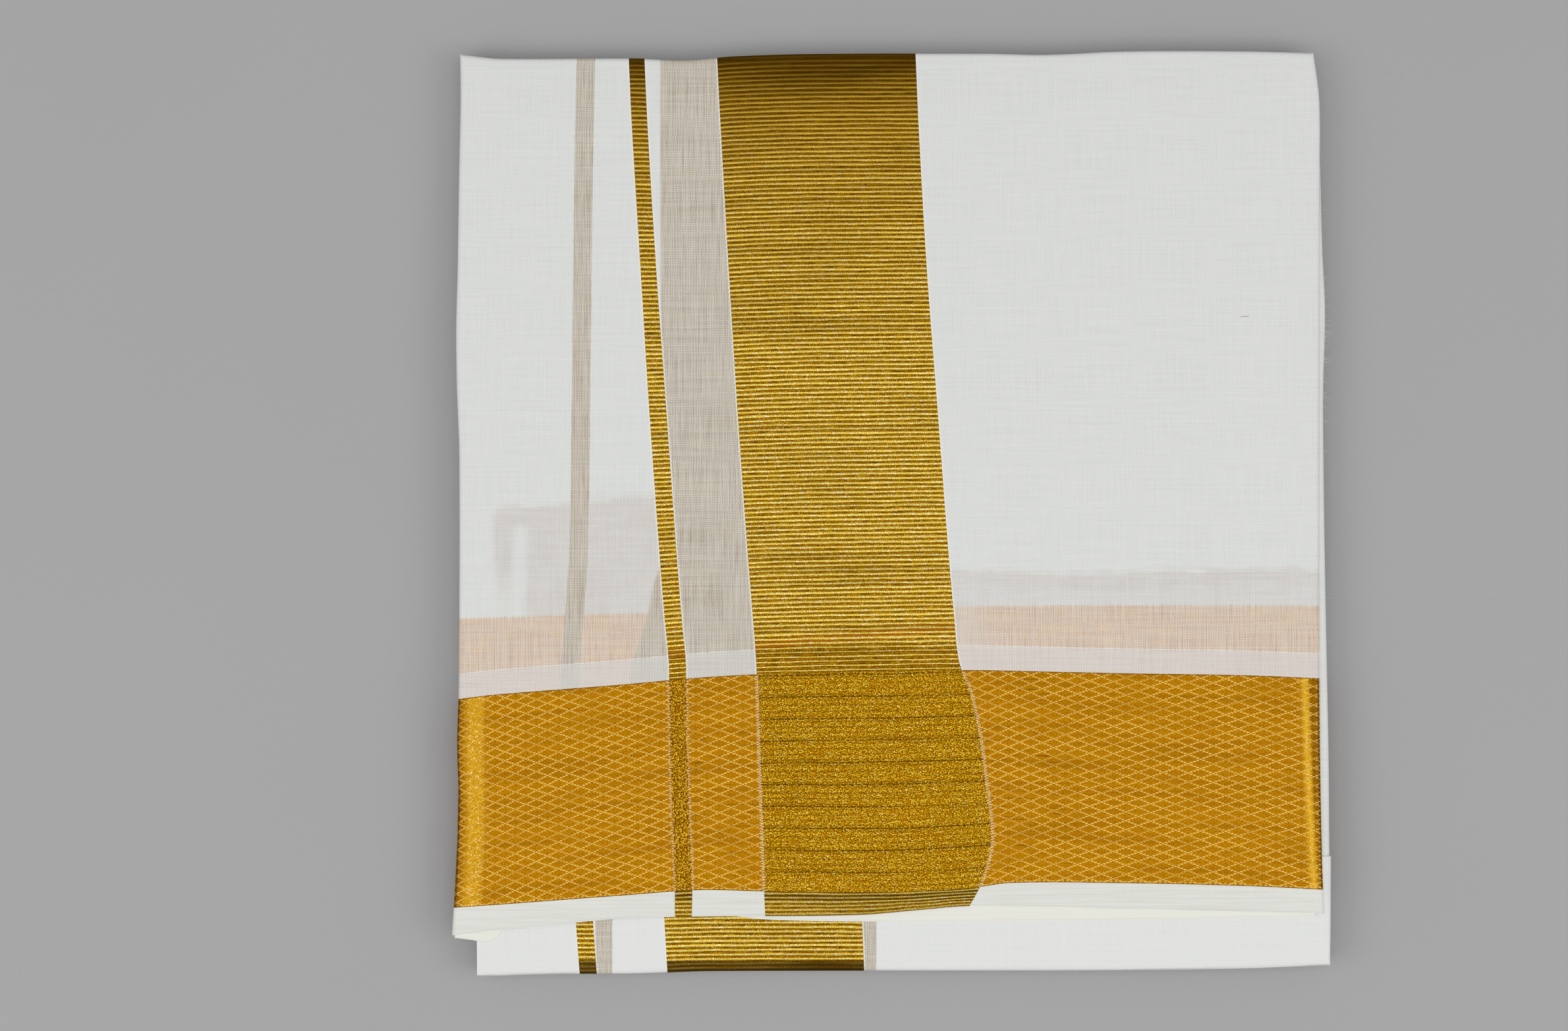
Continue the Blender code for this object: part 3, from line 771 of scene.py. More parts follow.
@dataclass(frozen=True)
class Cotton:
    """Fine open cotton: a grid of threads, through which the gold of the layers below shows beige.

    weft and warp give the spacing of the threads, strip how far the dense strip reaches above the border,
    and yarns where its two pale yarns lie. tongue, flaw_x and flaw_y are the places of single features,
    the last two of a small dark thread. All are in millimetres.
    """

    name: str = "cotton"
    white: Colour = paint(223, 224, 221)
    front_lit_white: Colour = paint(231, 232, 230)
    shade: Colour = paint(207, 209, 206)
    thread: Colour = paint(208, 201, 189)
    gap: Colour = paint(160, 148, 131)
    warm: Colour = paint(221, 206, 192)
    warm_gap: Colour = paint(187, 160, 137)
    veil: Colour = paint(215, 212, 207)
    veil_gap: Colour = paint(194, 188, 183)
    strip_thread: Colour = paint(221, 214, 208)
    strip_gap: Colour = paint(198, 188, 179)
    grey_strip: Colour = paint(213, 212, 207)
    yarn: Colour = paint(232, 231, 227)
    fleck: Colour = paint(214, 178, 96)
    gilt: Colour = paint(234, 206, 152)
    mark: Colour = paint(92, 88, 84)
    weft: float = 0.58
    warp: float = 0.64
    strip: float = 8.6
    yarns: tuple[float, float] = (8.7, 7.6)
    tongue: float = -132.2
    flaw_x: float = 125.6
    flaw_y: float = 70.3

    def make(self) -> bpy.types.Material:
        """Makes the material.

        Returns:
            The material.
        """
        bench = Bench(self.name)
        u, v = bench.flat()
        x, y, z = bench.place()
        wefts = (u / self.weft + bench.noise(u * 0.15, v * 0.3, 3.0, 0.6) * 1.4).wave()
        warps = (v / self.warp + bench.noise(u * 0.3, v * 0.15, 3.0, 0.6) * 1.1).wave()
        weft_slub = bench.noise(u * 2.1, v * 0.05, 3.0, 0.65)
        warp_slub = bench.noise(u * 0.035, v * 1.1, 3.0, 0.6)
        cover = 1 - (1 - wefts * (weft_slub * 1.3 + 0.2)) * (1 - warps * (warp_slub * 0.9 + 0.1))
        body = cover.rise(-0.05, 1.05) + (weft_slub + warp_slub - 1.0) * 0.4
        open_body = cover.rise(0.16, 0.81) + (weft_slub - 0.5) * 1.5 + (warp_slub - 0.5) * 0.3

        above_border = bench.measure("above_border")
        in_strip = above_border.rise(self.strip + 0.3, self.strip - 0.3)
        see = self._see(bench, u, v)
        mottle = bench.noise(x * 0.14, y * 0.18, 3.0)
        cloud = bench.noise(x * 0.05, y * 0.08, 3.0)
        veil = self._veil(bench, x, y, (warp_slub - 0.5) * 3.0 + (mottle - 0.5) * 5.0)
        beige = (bench.measure("beige_top") + (weft_slub - 0.5) * 1.2).rise(0.5, -0.5)
        beige = beige * (1 - bench.measure("beside_gold").rise(16.0, 3.0) * x.rise(0.0, 5.0) * 0.35)
        flecks = bench.chance(u / 0.55, v / 0.5).rise(0.86, 0.98) * cloud.rise(0.46, 0.62)

        plain = bench.blend(body, self.shade, self.white)
        # Painted light: the cotton is painted whiter towards the front, where the tier lies in more
        # light.
        plain = bench.blend(y.rise(-136.0, -142.0) * 0.4, plain, self.front_lit_white)
        veiled = bench.blend(body, self.veil_gap, self.veil)
        tone = bench.blend(veil * ((cloud + mottle) * 0.6 + 0.25), plain, veiled)
        warm = bench.blend(open_body, self.warm_gap, self.warm)
        warm = bench.blend(mottle.rise(0.45, 0.7) * 0.12, warm, self.gilt)
        tone = bench.blend(beige, tone, bench.blend(flecks * 0.4, warm, self.gilt))
        tone = bench.blend(in_strip, tone, bench.blend(body, self.strip_gap, self.strip_thread))
        sheer = bench.blend(open_body, self.gap, self.thread)
        sheer = bench.blend(flecks.rise(0.85, 0.95) * 0.35, sheer, self.fleck)
        sheer = bench.blend(in_strip * 0.85, sheer, bench.blend(body, self.veil_gap, self.grey_strip))
        tone = bench.blend(see, tone, sheer)

        first, second = ((above_border - place) for place in self.yarns)
        yarns = first.within(0.16, 0.12) + second.within(0.06, 0.1) * 0.5
        tone = bench.blend(yarns.least(1.0) * weft_slub.rise(0.2, 0.6) * 0.7, tone, self.yarn)
        beside = bench.measure("beside_gold") + (v / RIB_PITCH).wave() * 0.22 + weft_slub * 0.25
        rim = beside.rise(0.85, 0.5)
        tone = bench.blend(rim * 0.8, tone, self.yarn)
        across = x - self.flaw_x
        flaw = across.within(1.4, 0.5) * (y - self.flaw_y - across * 0.05).within(0.1, 0.12)
        tone = bench.blend(z.rise(5.0, 6.0) * flaw * 0.8, tone, self.mark)
        height = cover * 0.6 + weft_slub * 0.6 + warp_slub * 0.6 + yarns * 0.7 + rim * 0.4
        return bench.finish(
            Base_Color=tone,
            Roughness=0.82,
            Specular_IOR_Level=0.25,
            Sheen_Weight=0.08,
            Sheen_Roughness=0.5,
            Normal=bench.relief(height, 0.05, 0.7),
        )

    @staticmethod
    def _see(bench: Bench, u: Wire, v: Wire) -> Wire:
        """Where the stripe, the band and the turned corner of the layer below show through.

        Args:
            bench: The material's bench.
            u: Place in the flat cloth along the border, in millimetres.
            v: Place in the flat cloth across it, in millimetres.

        Returns:
            How much shows, from 0 to 1.
        """
        wobble = (bench.noise(u * 0.3, v * 0.25) - 0.5) * 0.12
        stripe = (bench.measure("stripe_below") + wobble).within(1.0, 0.07)
        band = bench.measure("band_below").rise(-0.3, 0.6)
        return stripe.most(band).most(bench.measure("wedge").rise(-0.5, 0.5))

    def _veil(self, bench: Bench, x: Wire, y: Wire, fray: Wire) -> Wire:
        """Where a layer folded in below greys the cotton, apart from a pale tongue.

        Args:
            bench: The material's bench.
            x: Place along the border, in millimetres.
            y: Place from the selvedge to the back, in millimetres.
            fray: How far its upper edge strays, in millimetres.

        Returns:
            How grey it is, from 0 to 1.
        """
        veil = (bench.measure("veil_top") + fray).rise(2.0, -2.0)
        veil = veil * bench.measure("veil_side").rise(-2.0, 2.0)
        tongue = (x - self.tongue - y * 0.03).within(2.6, 1.8) * y.rise(-2.0, -7.0)
        left_end = x.rise(-135.0, -138.0) * y.rise(-14.0, -36.0)
        low_right = y.rise(-23.0, -29.0) * x.rise(-10.0, 10.0)
        return veil * (1 - tongue * 0.9) * (1 - left_end * 0.7) * (1 - low_right * 0.3)


@dataclass(frozen=True)
class Selvedge:
    """The dense cream weave of the selvedge, with the fine lines of its doubled warps."""

    name: str = "selvedge"
    cream: Colour = paint(224, 225, 218)
    shade: Colour = paint(213, 213, 206)
    line: Colour = paint(196, 196, 189)
    lit: Colour = paint(232, 232, 222)
    weft: float = 0.5
    warp: float = 0.9

    def make(self) -> bpy.types.Material:
        """Makes the material.

        Returns:
            The material.
        """
        bench = Bench(self.name)
        u, v = bench.flat()
        rim = bench.measure("from_rim")
        wefts = (u / self.weft + bench.noise(u * 0.05, v * 0.05)).wave()
        warps = (rim / self.warp + bench.noise(u * 0.02, v * 0.5) * 0.5).wave()
        streak = bench.noise(u * 0.03, v * 1.4, 3.0)
        picks = bench.noise(u * 1.3, v * 0.05, 2.0)
        edge_line = (rim - 0.5).within(0.08, 0.15)
        tone = bench.blend(streak.rise(0.25, 0.7) * 0.7 + picks * 0.3, self.shade, self.cream)
        tone = bench.blend(warps.rise(0.3, 0.0) * 0.15, tone, self.line)
        tone = bench.blend(bench.measure("lit") * 0.65, tone, self.lit)
        tone = bench.blend(edge_line * 0.45, tone, self.line)
        height = wefts * 0.3 + warps * 0.4 + streak * 0.8 - edge_line * 0.7
        return bench.finish(
            Base_Color=tone,
            Roughness=0.75,
            Specular_IOR_Level=0.3,
            Sheen_Weight=0.1,
            Sheen_Roughness=0.4,
            Normal=bench.relief(height, 0.05, 0.7),
        )


@dataclass(frozen=True)
class RibbedZari:
    """The end band: rows of bright zari strokes on its weft ribs, with olive gold in the valleys between.

    hem, hem_middle and crease are places from the selvedge to the back, in millimetres, and slant is how
    much the crease climbs along the border.
    """

    name: str = "band_zari"
    light: float = 0.84
    olive: Colour = paint(160, 112, 4, light)
    deep: Colour = paint(92, 58, 0, light)
    stroke: Colour = paint(212, 156, 34, light)
    bright: Colour = paint(255, 225, 108, light)
    glint: Colour = paint(255, 240, 196, light)
    brown: Colour = paint(62, 38, 0, light)
    red_brown: Colour = paint(150, 82, 4, light)
    hem: float = -134.5
    hem_middle: float = -139.0
    crease: float = -42.4
    slant: float = 0.094

    def make(self) -> bpy.types.Material:
        """Makes the material.

        Returns:
            The material.
        """
        bench = Bench(self.name)
        u, v = bench.flat()
        x, y, z = bench.place()
        rib = bench.measure("rib") + (bench.noise(u * 0.06, v * 0.5) - 0.5) * 0.4
        phase = rib.rest()
        near_border = y.rise(-45.0, -49.0) * y.rise(-60.0, -58.0)
        crest = (abs(phase - 0.5) + near_border * 0.1).rise(0.31, 0.15)
        jitter = bench.noise(u * 0.9, v * 1.6, 2.0) * 1.4
        twist = (u * 1.3 + v * 0.9 + jitter).wave()
        grain = bench.noise(u * 2.2, v * 2.9, 2.0, 0.7)
        lines = bench.noise(u * 0.25, v * 3.4, 2.0)
        specks = bench.chance(u / 0.47, v / 0.4)
        own = bench.chance(rib, 0.5)
        slow = bench.noise(u * 0.012, rib * 0.11, 2.0)
        # Painted light: a share that is 1 over most of the band and falls to 0 towards the back fold; the
        # glints and specks show only where it is high.
        light = y.rise(167.0, 118.0) * 0.65 + y.rise(150.0, 20.0) * 0.35

        valley = bench.blend((grain * 0.5 + lines * 0.5).rise(0.4, 0.6), self.deep, self.olive)
        valley = bench.blend(specks.rise(0.84, 0.95) * 0.6 * light, valley, self.stroke)
        row = bench.blend((twist * 0.6 + grain * 0.8 - 0.2).rise(0.2, 0.8), self.stroke, self.bright)
        row = bench.blend(specks.rise(0.78, 0.92) * light * 0.8, row, self.glint)
        notches = (twist * 0.5 + grain).rise(0.5, 0.3) * (0.8 - near_border * 0.4)
        row = bench.blend(notches, row, self.deep)
        # Painted shade: the crests are painted duller towards the back fold.
        row = bench.blend((1 - light) * 0.6, row, self.stroke)
        # The crests take the rows' colour, partly their own and partly painted highlight, and the valleys
        # theirs; the dark line in the groove below each crest is painted shade.
        tone = bench.blend(crest * (own * 0.2 + 0.8), valley, row)
        tone = bench.blend((phase - 0.13).within(0.05, 0.08) * 0.75, tone, self.deep)

        hem_shade = (y - self.hem).within(3.5, 1.5) * (0.7 - crest)
        tone = bench.blend(hem_shade, tone, self.brown)
        # A slanted red-brown line along the crease across the band, darker off the crests.
        pressed = (y - self.crease - x * self.slant).within(1.6, 1.2) * (1 - crest * 0.8)
        tone = bench.blend(pressed * 0.6, tone, self.red_brown)
        # Painted shade and tone: the band is painted darker towards the back fold and round the tier's
        # front fold, less where it has turned down round them; the slow and per-rib darkening is tone
        # that differs at random, and the hem strip is darker across its middle.
        painted_shade_and_tone = (1 - light) * 0.6 + slow.rise(0.5, 0.75) * 0.12 + own.rise(0.15, 0.0) * 0.15
        painted_shade_and_tone = painted_shade_and_tone + y.rise(150.0, 162.0) * 0.3 + y.rise(-158.4, -160.0) * 0.85
        painted_shade_and_tone = painted_shade_and_tone + (y - self.hem_middle).within(5.0, 1.0) * 0.15
        painted_shade_and_tone = painted_shade_and_tone * (1 - y.rise(100.0, 110.0) * z.rise(12.0, 11.0) * 0.6)
        painted_shade_and_tone = painted_shade_and_tone * (1 - y.rise(-155.0, -160.0) * z.rise(11.8, 10.8) * 0.7)
        tone = bench.blend(painted_shade_and_tone, tone, self.brown)
        return bench.gild(tone, 0.4, 0.8, bench.relief(grain * 0.6 + twist * 0.5, 0.07, 0.6))


@dataclass(frozen=True)
class BorderZari:
    """The zari border: close gold thread with a stepped lattice, and the stripe and stitched edges in it.

    diamond is the height of a lozenge and steps how many steps its sides have. The stripe's middle and
    half width are measured from its left edge. All lengths are in millimetres.
    """

    name: str = "border_zari"
    light: float = 1.13
    gold: Colour = paint(198, 136, 2, light)
    deep: Colour = paint(128, 74, 0, light)
    line: Colour = paint(252, 208, 104, light)
    stitch: Colour = paint(248, 222, 186, light)
    dark: Colour = paint(84, 48, 0, light)
    bright: Colour = paint(255, 206, 58, light)
    glint: Colour = paint(255, 238, 190, light)
    olive: Colour = paint(178, 128, 6, light)
    diamond: float = 3.25
    steps: float = 8.0
    stripe_middle: float = 3.2
    stripe_half: float = 3.1

    def make(self) -> bpy.types.Material:
        """Makes the material.

        Returns:
            The material.
        """
        bench = Bench(self.name)
        along, up = bench.measure("along"), bench.measure("up")
        stripe, side = bench.measure("past_stripe"), bench.measure("from_side")
        lattice = bench.measure("lattice")
        spot = lattice * self.steps
        strokes = self._strokes(bench, along, up, spot)
        beads = spot.to_line().rise(0.02, 0.2)
        weave = (spot * 1.5 + up / 0.9).wave()
        grain = bench.noise(along * 1.9, up * 2.3, 2.0, 0.7)
        distance, chance = bench.grains(along / 0.6, up / 0.6)
        loops = distance.rise(0.55, 0.15)
        sparkle = loops * chance.rise(0.3, 0.9)

        uneven = bench.noise(along * 0.02, up * 0.35, 3.0)
        pulls = bench.noise(along * 0.06, up * 1.1, 2.0).rise(0.66, 0.74) * along.rise(45.0, 20.0)
        tone = bench.blend((weave * 0.3 + (grain - 0.5) * 2.0 + 0.5).rise(0.0, 1.0), self.deep, self.gold)
        tone = bench.blend(uneven.rise(0.4, 0.7) * 0.28, tone, self.deep)
        tone = bench.blend(pulls * 0.5, tone, self.dark)

        # Painted highlight: a glittering strip a few millimetres in from each side fold, where the cloth
        # turns down, painted bright with glints; the lattice lines are drawn fainter under it.
        on_right = bench.place()[0].rise(0.0, 1.0)
        bend = 2.2 + up * 0.028
        right_fold_highlight = (side - bend - 1.2).within(0.6, 2.0)
        painted_fold_highlight = side.rise(11.0, 7.5) * side.rise(2.0, 5.0) * (1 - on_right) + right_fold_highlight * on_right
        fade = bench.noise(along * 0.06, up * 0.15, 2.0).rise(0.3, 0.6) * 0.45 + 0.55
        drawn = strokes * (beads * 0.7 + 0.3) * fade * (0.72 - painted_fold_highlight * 0.35)
        tone = bench.blend(drawn, tone, self.line)
        tone = bench.blend(painted_fold_highlight * (sparkle * 0.6 + on_right * 0.4 + 0.24), tone, self.bright)
        tone = bench.blend(painted_fold_highlight * loops * chance.rise(0.88, 0.96) * 0.8, tone, self.glint)

        rough = (loops * 0.5 + (grain - 0.5) * 2.0 + 0.3).rise(0.0, 1.0)
        grainy = bench.blend(rough, self.deep, self.olive)
        grainy = bench.blend(sparkle * 0.9, grainy, self.bright)
        grainy = bench.blend(distance.rise(0.45, 0.7) * 0.6, grainy, self.dark)
        from_middle = stripe - self.stripe_middle
        tone = bench.blend(from_middle.within(self.stripe_half, 0.15), tone, grainy)
        sway = ((up / 2.8).wave() - 0.5) * 0.5
        beside_stripe = abs(abs(from_middle) - self.stripe_half - 0.2 + sway).rise(0.5, 0.25)
        stitched = beside_stripe.most(along.rise(0.8, 0.5) * along.rise(-0.2, 0.1))
        knots = (up / STITCH).wave().rise(0.2, 0.6) * bench.noise(along * 0.3, up * 0.5).rise(0.2, 0.45)
        tone = bench.blend(stitched * knots * 0.5, tone, self.stitch)

        rim = up.rise(0.5, 0.2).most((BORDER_WIDTH - up).rise(0.5, 0.2))
        tone = bench.blend(rim * 0.6, tone, self.dark)
        dashes = (lattice * 5.0).wave().rise(0.4, 0.6) * (up - 0.55).within(0.16, 0.1)
        tone = bench.blend(dashes * 0.7, tone, self.line)
        shady = side.rise(3.2, 0.4).most((bend - side).rise(0.0, 0.7) * on_right * 0.8)
        shady = shady * (grain.rise(0.6, 0.4) * 0.5 + 0.35) * (1 - strokes * 0.7)
        tone = bench.blend(shady, tone, self.dark)
        height = grain * 0.6 + weave * 0.3 + strokes * beads * 0.5 + stitched * knots
        return bench.gild(tone, 0.4, 0.7, bench.relief(height, 0.07, 0.6))

    def _strokes(self, bench: Bench, along: Wire, up: Wire, spot: Wire) -> Wire:
        """The stepped lines of the lattice, which rise and fall by one step at a time.

        Args:
            bench: The material's bench.
            along: Distance from the crossing, in millimetres.
            up: Distance from the border's front edge, in millimetres.
            spot: Number of steps along the border.

        Returns:
            1 on a line, and 0 between the lines.
        """
        stepped = spot.whole() / self.steps
        tall = up / self.diamond + (bench.noise(along * 0.04, up * 0.04) - 0.5) * 0.3
        falling, rising = ((tall + way).to_line().rise(0.1, 0.045) for way in (stepped, stepped * -1.0))
        return falling.most(rising)


@dataclass(frozen=True)
class CrossingZari:
    """Where the end band crosses the border: close looped zari that sparkles in grains.

    row is the distance between its dark rows of dashes, shift where the first one lies, and dash the
    length of a dash with its gap, all in millimetres.
    """

    name: str = "crossing_zari"
    light: float = 0.95
    gold: Colour = paint(210, 147, 0, light)
    deep: Colour = paint(88, 50, 0, light)
    bright: Colour = paint(255, 214, 58, light)
    glint: Colour = paint(255, 238, 150, light)
    dark: Colour = paint(82, 46, 0, light)
    stitch: Colour = paint(248, 222, 186, light)
    row: float = 7.7
    shift: float = 0.4
    dash: float = 2.6

    def make(self) -> bpy.types.Material:
        """Makes the material.

        Returns:
            The material.
        """
        bench = Bench(self.name)
        along, up = bench.measure("along"), bench.measure("up")
        distance, chance = bench.grains(along / 0.56, up / 0.52)
        loops = distance.rise(0.55, 0.15)
        fine = bench.noise(along * 2.4, up * 3.2, 2.0, 0.7)
        tall = up + bench.noise(along * 0.05, up * 0.05) * 0.8
        drift = (bench.noise(along * 0.03, up * 0.8, 2.0) - 0.5) * 0.8
        rows = drift + (tall / self.row * 4.0).wave() * 0.5
        tone = bench.blend((loops * 0.6 + (fine - 0.5) * 3.0 + 0.3).rise(0.0, 1.0), self.deep, self.gold)
        tone = bench.blend(loops * chance.rise(0.2, 0.9), tone, self.bright)
        tone = bench.blend(loops * chance.rise(0.9, 0.97) * fine.rise(0.4, 0.5), tone, self.glint)
        tone = bench.blend(rows.rise(0.1, 0.7) * 0.42, tone, self.deep)

        spot = (tall + self.shift) / self.row
        number = (spot + 0.5).whole()
        dashes = ((along + number * 3.0) / self.dash).wave().rise(0.1, 0.5)
        reach = bench.noise(along * 0.025, number * 3.7).rise(0.3, 0.55)
        cut = (spot.to_line() * self.row).rise(0.36, 0.1) * (dashes * 0.4 + 0.6) * (reach * 0.5 + 0.5)
        tone = bench.blend(cut * 0.85, tone, self.dark)
        marks = (up / (self.row * 0.25)).to_line().rise(0.1, 0.03)
        marks = marks * (along / 2.1 + number * 0.5).wave().rise(0.6, 0.9) * along.rise(40.0, 10.0)
        tone = bench.blend(marks * 0.5, tone, self.dark)
        stitched = along.rise(0.6, 0.3).most((bench.measure("width") - along).rise(0.6, 0.3))
        knots = (up / STITCH).wave().rise(0.2, 0.6)
        tone = bench.blend(stitched * knots * 0.55, tone, self.stitch)
        return bench.gild(tone, 0.38, 0.7, bench.relief(loops + fine * 0.5 - cut * 1.5, 0.1, 0.7))


@dataclass(frozen=True)
class LayeredEdge:
    """The stacked folds of the hidden layers: cotton, and gold where the border passes round them."""

    name: str = "layered_edge"
    cotton: Colour = paint(221, 222, 218)
    groove: Colour = paint(164, 162, 155)
    gold: Colour = paint(206, 142, 26)
    deep: Colour = paint(120, 76, 8)

    def make(self) -> bpy.types.Material:
        """Makes the material.

        Returns:
            The material.
        """
        bench = Bench(self.name)
        x, y, z = bench.place()
        ply = bench.measure("ply") + (bench.noise(x * 0.05 + y * 0.05, z * 0.2) - 0.5) * 1.2
        # Painted shade: a grey line in the groove between each pair of plies, on the cotton and on the
        # gold.
        groove = ply.to_line().rise(0.2, 0.02)
        threads = bench.noise((x + y) * 1.8, z * 3.0, 3.0)
        tone = bench.blend(groove * 0.8, self.cotton, self.groove)
        tone = bench.blend(threads.rise(0.4, 0.75) * 0.25, tone, self.groove)
        sheen = bench.blend(threads.rise(0.42, 0.6), self.deep, self.gold)
        sheen = bench.blend(groove * 0.8, sheen, self.deep)
        border = bench.measure("border").rise(-0.5, 0.5)
        tone = bench.blend(border, tone, sheen)
        return bench.finish(
            Base_Color=tone,
            Roughness=0.8 - border * 0.35,
            Metallic=border * 0.6,
            Specular_IOR_Level=0.25,
            Normal=bench.relief(threads * 0.3 - groove, 0.12, 0.8),
        )


@dataclass(frozen=True)
class PaleFloor:
    """A plain pale floor."""

    name: str = "pale_floor"
    colour: Colour = paint(166, 166, 167)

    def make(self) -> bpy.types.Material:
        """Makes the material.

        Returns:
            The material.
        """
        bench = Bench(self.name)
        x, y, _ = bench.place()
        speckle = bench.noise(x * 0.01, y * 0.01, 3.0)
        low, high = (tuple(c * k for c in self.colour[:3]) + (1.0,) for k in (0.99, 1.01))
        tone = bench.blend(speckle, low, high)
        return bench.finish(Base_Color=tone, Roughness=0.9, Specular_IOR_Level=0.1)


def dressed(
    thing: bpy.types.Object, material: bpy.types.Material, slot: Slot, *nodes: str
) -> bpy.types.Object:
    """Gives a piece its material, lets it ride on the packet, hides the parts that it stands for, and
    logs its slot.

    Args:
        thing: The piece.
        material: Its material.
        slot: The record's slot that it takes its finish from; here it is only logged.
        nodes: The nodes that it stands for.

    Returns:
        The piece.
    """
    thing.data.materials.clear()
    thing.data.materials.append(material)
    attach(thing, "root")
    if nodes:
        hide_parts(*nodes)
    log.info("%s: %d faces, %s", thing.name, len(thing.data.polygons), slot.value)
    return thing


def declare(
    thing: bpy.types.Object,
    patch: Patch,
) -> None:
    """Logs the width, length and area that a stretch was cut to.

    Args:
        thing: The piece.
        patch: Its laid grid, which holds its flat size.
    """
    width, length, area = patch.cut()
    log.info("%s is cut %.4f x %.4f m, %.5f square metres", thing.name, width, length, area)


@dataclass
class Finishes:
    """The materials of the packet, each made once."""

    cotton: bpy.types.Material
    selvedge: bpy.types.Material
    band: bpy.types.Material
    border: bpy.types.Material
    crossing: bpy.types.Material
    layers: bpy.types.Material


@dataclass(frozen=True)
class Ground:
    """Where the layers below show through the plain cotton, in millimetres.

    A point counts as past the gold's edge once it lies stray beyond it.
    """

    below_stripe: Edge = Edge((
        (-60, -114.8), (-50, -114.2), (-40, -113.5), (-30, -112.7), (-14, -111.6), (33, -110.9),
        (80, -110.4), (127, -109.8), (165, -109.1),
    ))
    below_half: float = 3.3
    stray: float = 1.0
    below_band: Edge = Edge(((-60, -84.0), (-48, -83.4), (0, -81.8), (87, -82.6), (165, -82.8)))
    wedge: Edge = Edge((
        (-60, -93.5), (-51, -92.0), (-46, -90.2), (-36, -87.0), (-26, -85.2), (-14, -81.0),
    ))
    beige_top: Edge = Edge(((-153, -37.3), (-92, -35.6), (30, -32.8), (150, -32.8)))
    veil_top: Edge = Edge((
        (-145, 1.5), (-134, 2.6), (-110, 3.8), (-88, 6.5), (-60, 6.0), (20, -18.8), (150, -19.4),
    ))
    veil_side: Edge = Edge(((-50, -138.6), (-36, -140.2), (-10, -141.8), (8, -141.2)))

    def measures(self, patch: Patch, gold_left: Edge | None, gold_right: Edge | None) -> dict[str, Array]:
        """The measures that the cotton reads.

        Args:
            patch: The laid stretch.
            gold_left: The edge of the gold zone on its left, if any.
            gold_right: The edge of the gold zone on its right, if any.

        Returns:
            The measures by name.
        """
        x, y = patch.x, patch.y
        right_of_band = x > PACKET.band_left(y) + self.stray * MM
        left_field = x < PACKET.stripe_left(y) + self.stray * MM
        found = self.plain(patch, gold_left, gold_right)
        found["stripe_below"] = (x - self.below_stripe(y)) / (self.below_half * MM)
        found["band_below"] = np.where(right_of_band, -FAR, (x - self.below_band(y)) / MM)
        found["wedge"] = np.where(left_field, (x - self.wedge(y)) / MM, -FAR)
        found["above_border"] = (y - PACKET.border_back(x)) / MM
        found["beige_top"] = (y - self.beige_top(x)) / MM
        found["veil_top"] = (y - self.veil_top(x)) / MM
        found["veil_side"] = np.where(left_field, (x - self.veil_side(y)) / MM, FAR)
        return found

    @staticmethod
    def plain(
        patch: Patch, gold_left: Edge | None = None, gold_right: Edge | None = None
    ) -> dict[str, Array]:
        """The measures of ground with nothing showing through it.

        Args:
            patch: The laid stretch.
            gold_left: The edge of the gold zone on its left, if any.
            gold_right: The edge of the gold zone on its right, if any.

        Returns:
            The measures by name.
        """
        far = np.full_like(patch.x, FAR)
        beside = far
        if gold_left:
            beside = np.minimum(beside, (patch.x - gold_left(patch.y)) / MM)
        if gold_right:
            beside = np.minimum(beside, (gold_right(patch.y) - patch.x) / MM)
        return {
            "stripe_below": far,
            "band_below": -far,
            "wedge": -far,
            "above_border": far,
            "beige_top": far,
            "veil_top": far,
            "veil_side": far,
            "beside_gold": beside,
        }


def rib_relief(ribs: Array, height: float = 0.15, width: float = 0.2) -> Array:
    """Height of the weft ribs, one for each whole step.

    Args:
        ribs: Number of the rib at each point.
        height: Height of a rib, in millimetres.
        width: Its half width, as a share of a step.

    Returns:
        The height at each point, in metres.
    """
    off = ribs - np.floor(ribs) - 0.5
    return height * MM * np.exp(-((off / width) ** 2))


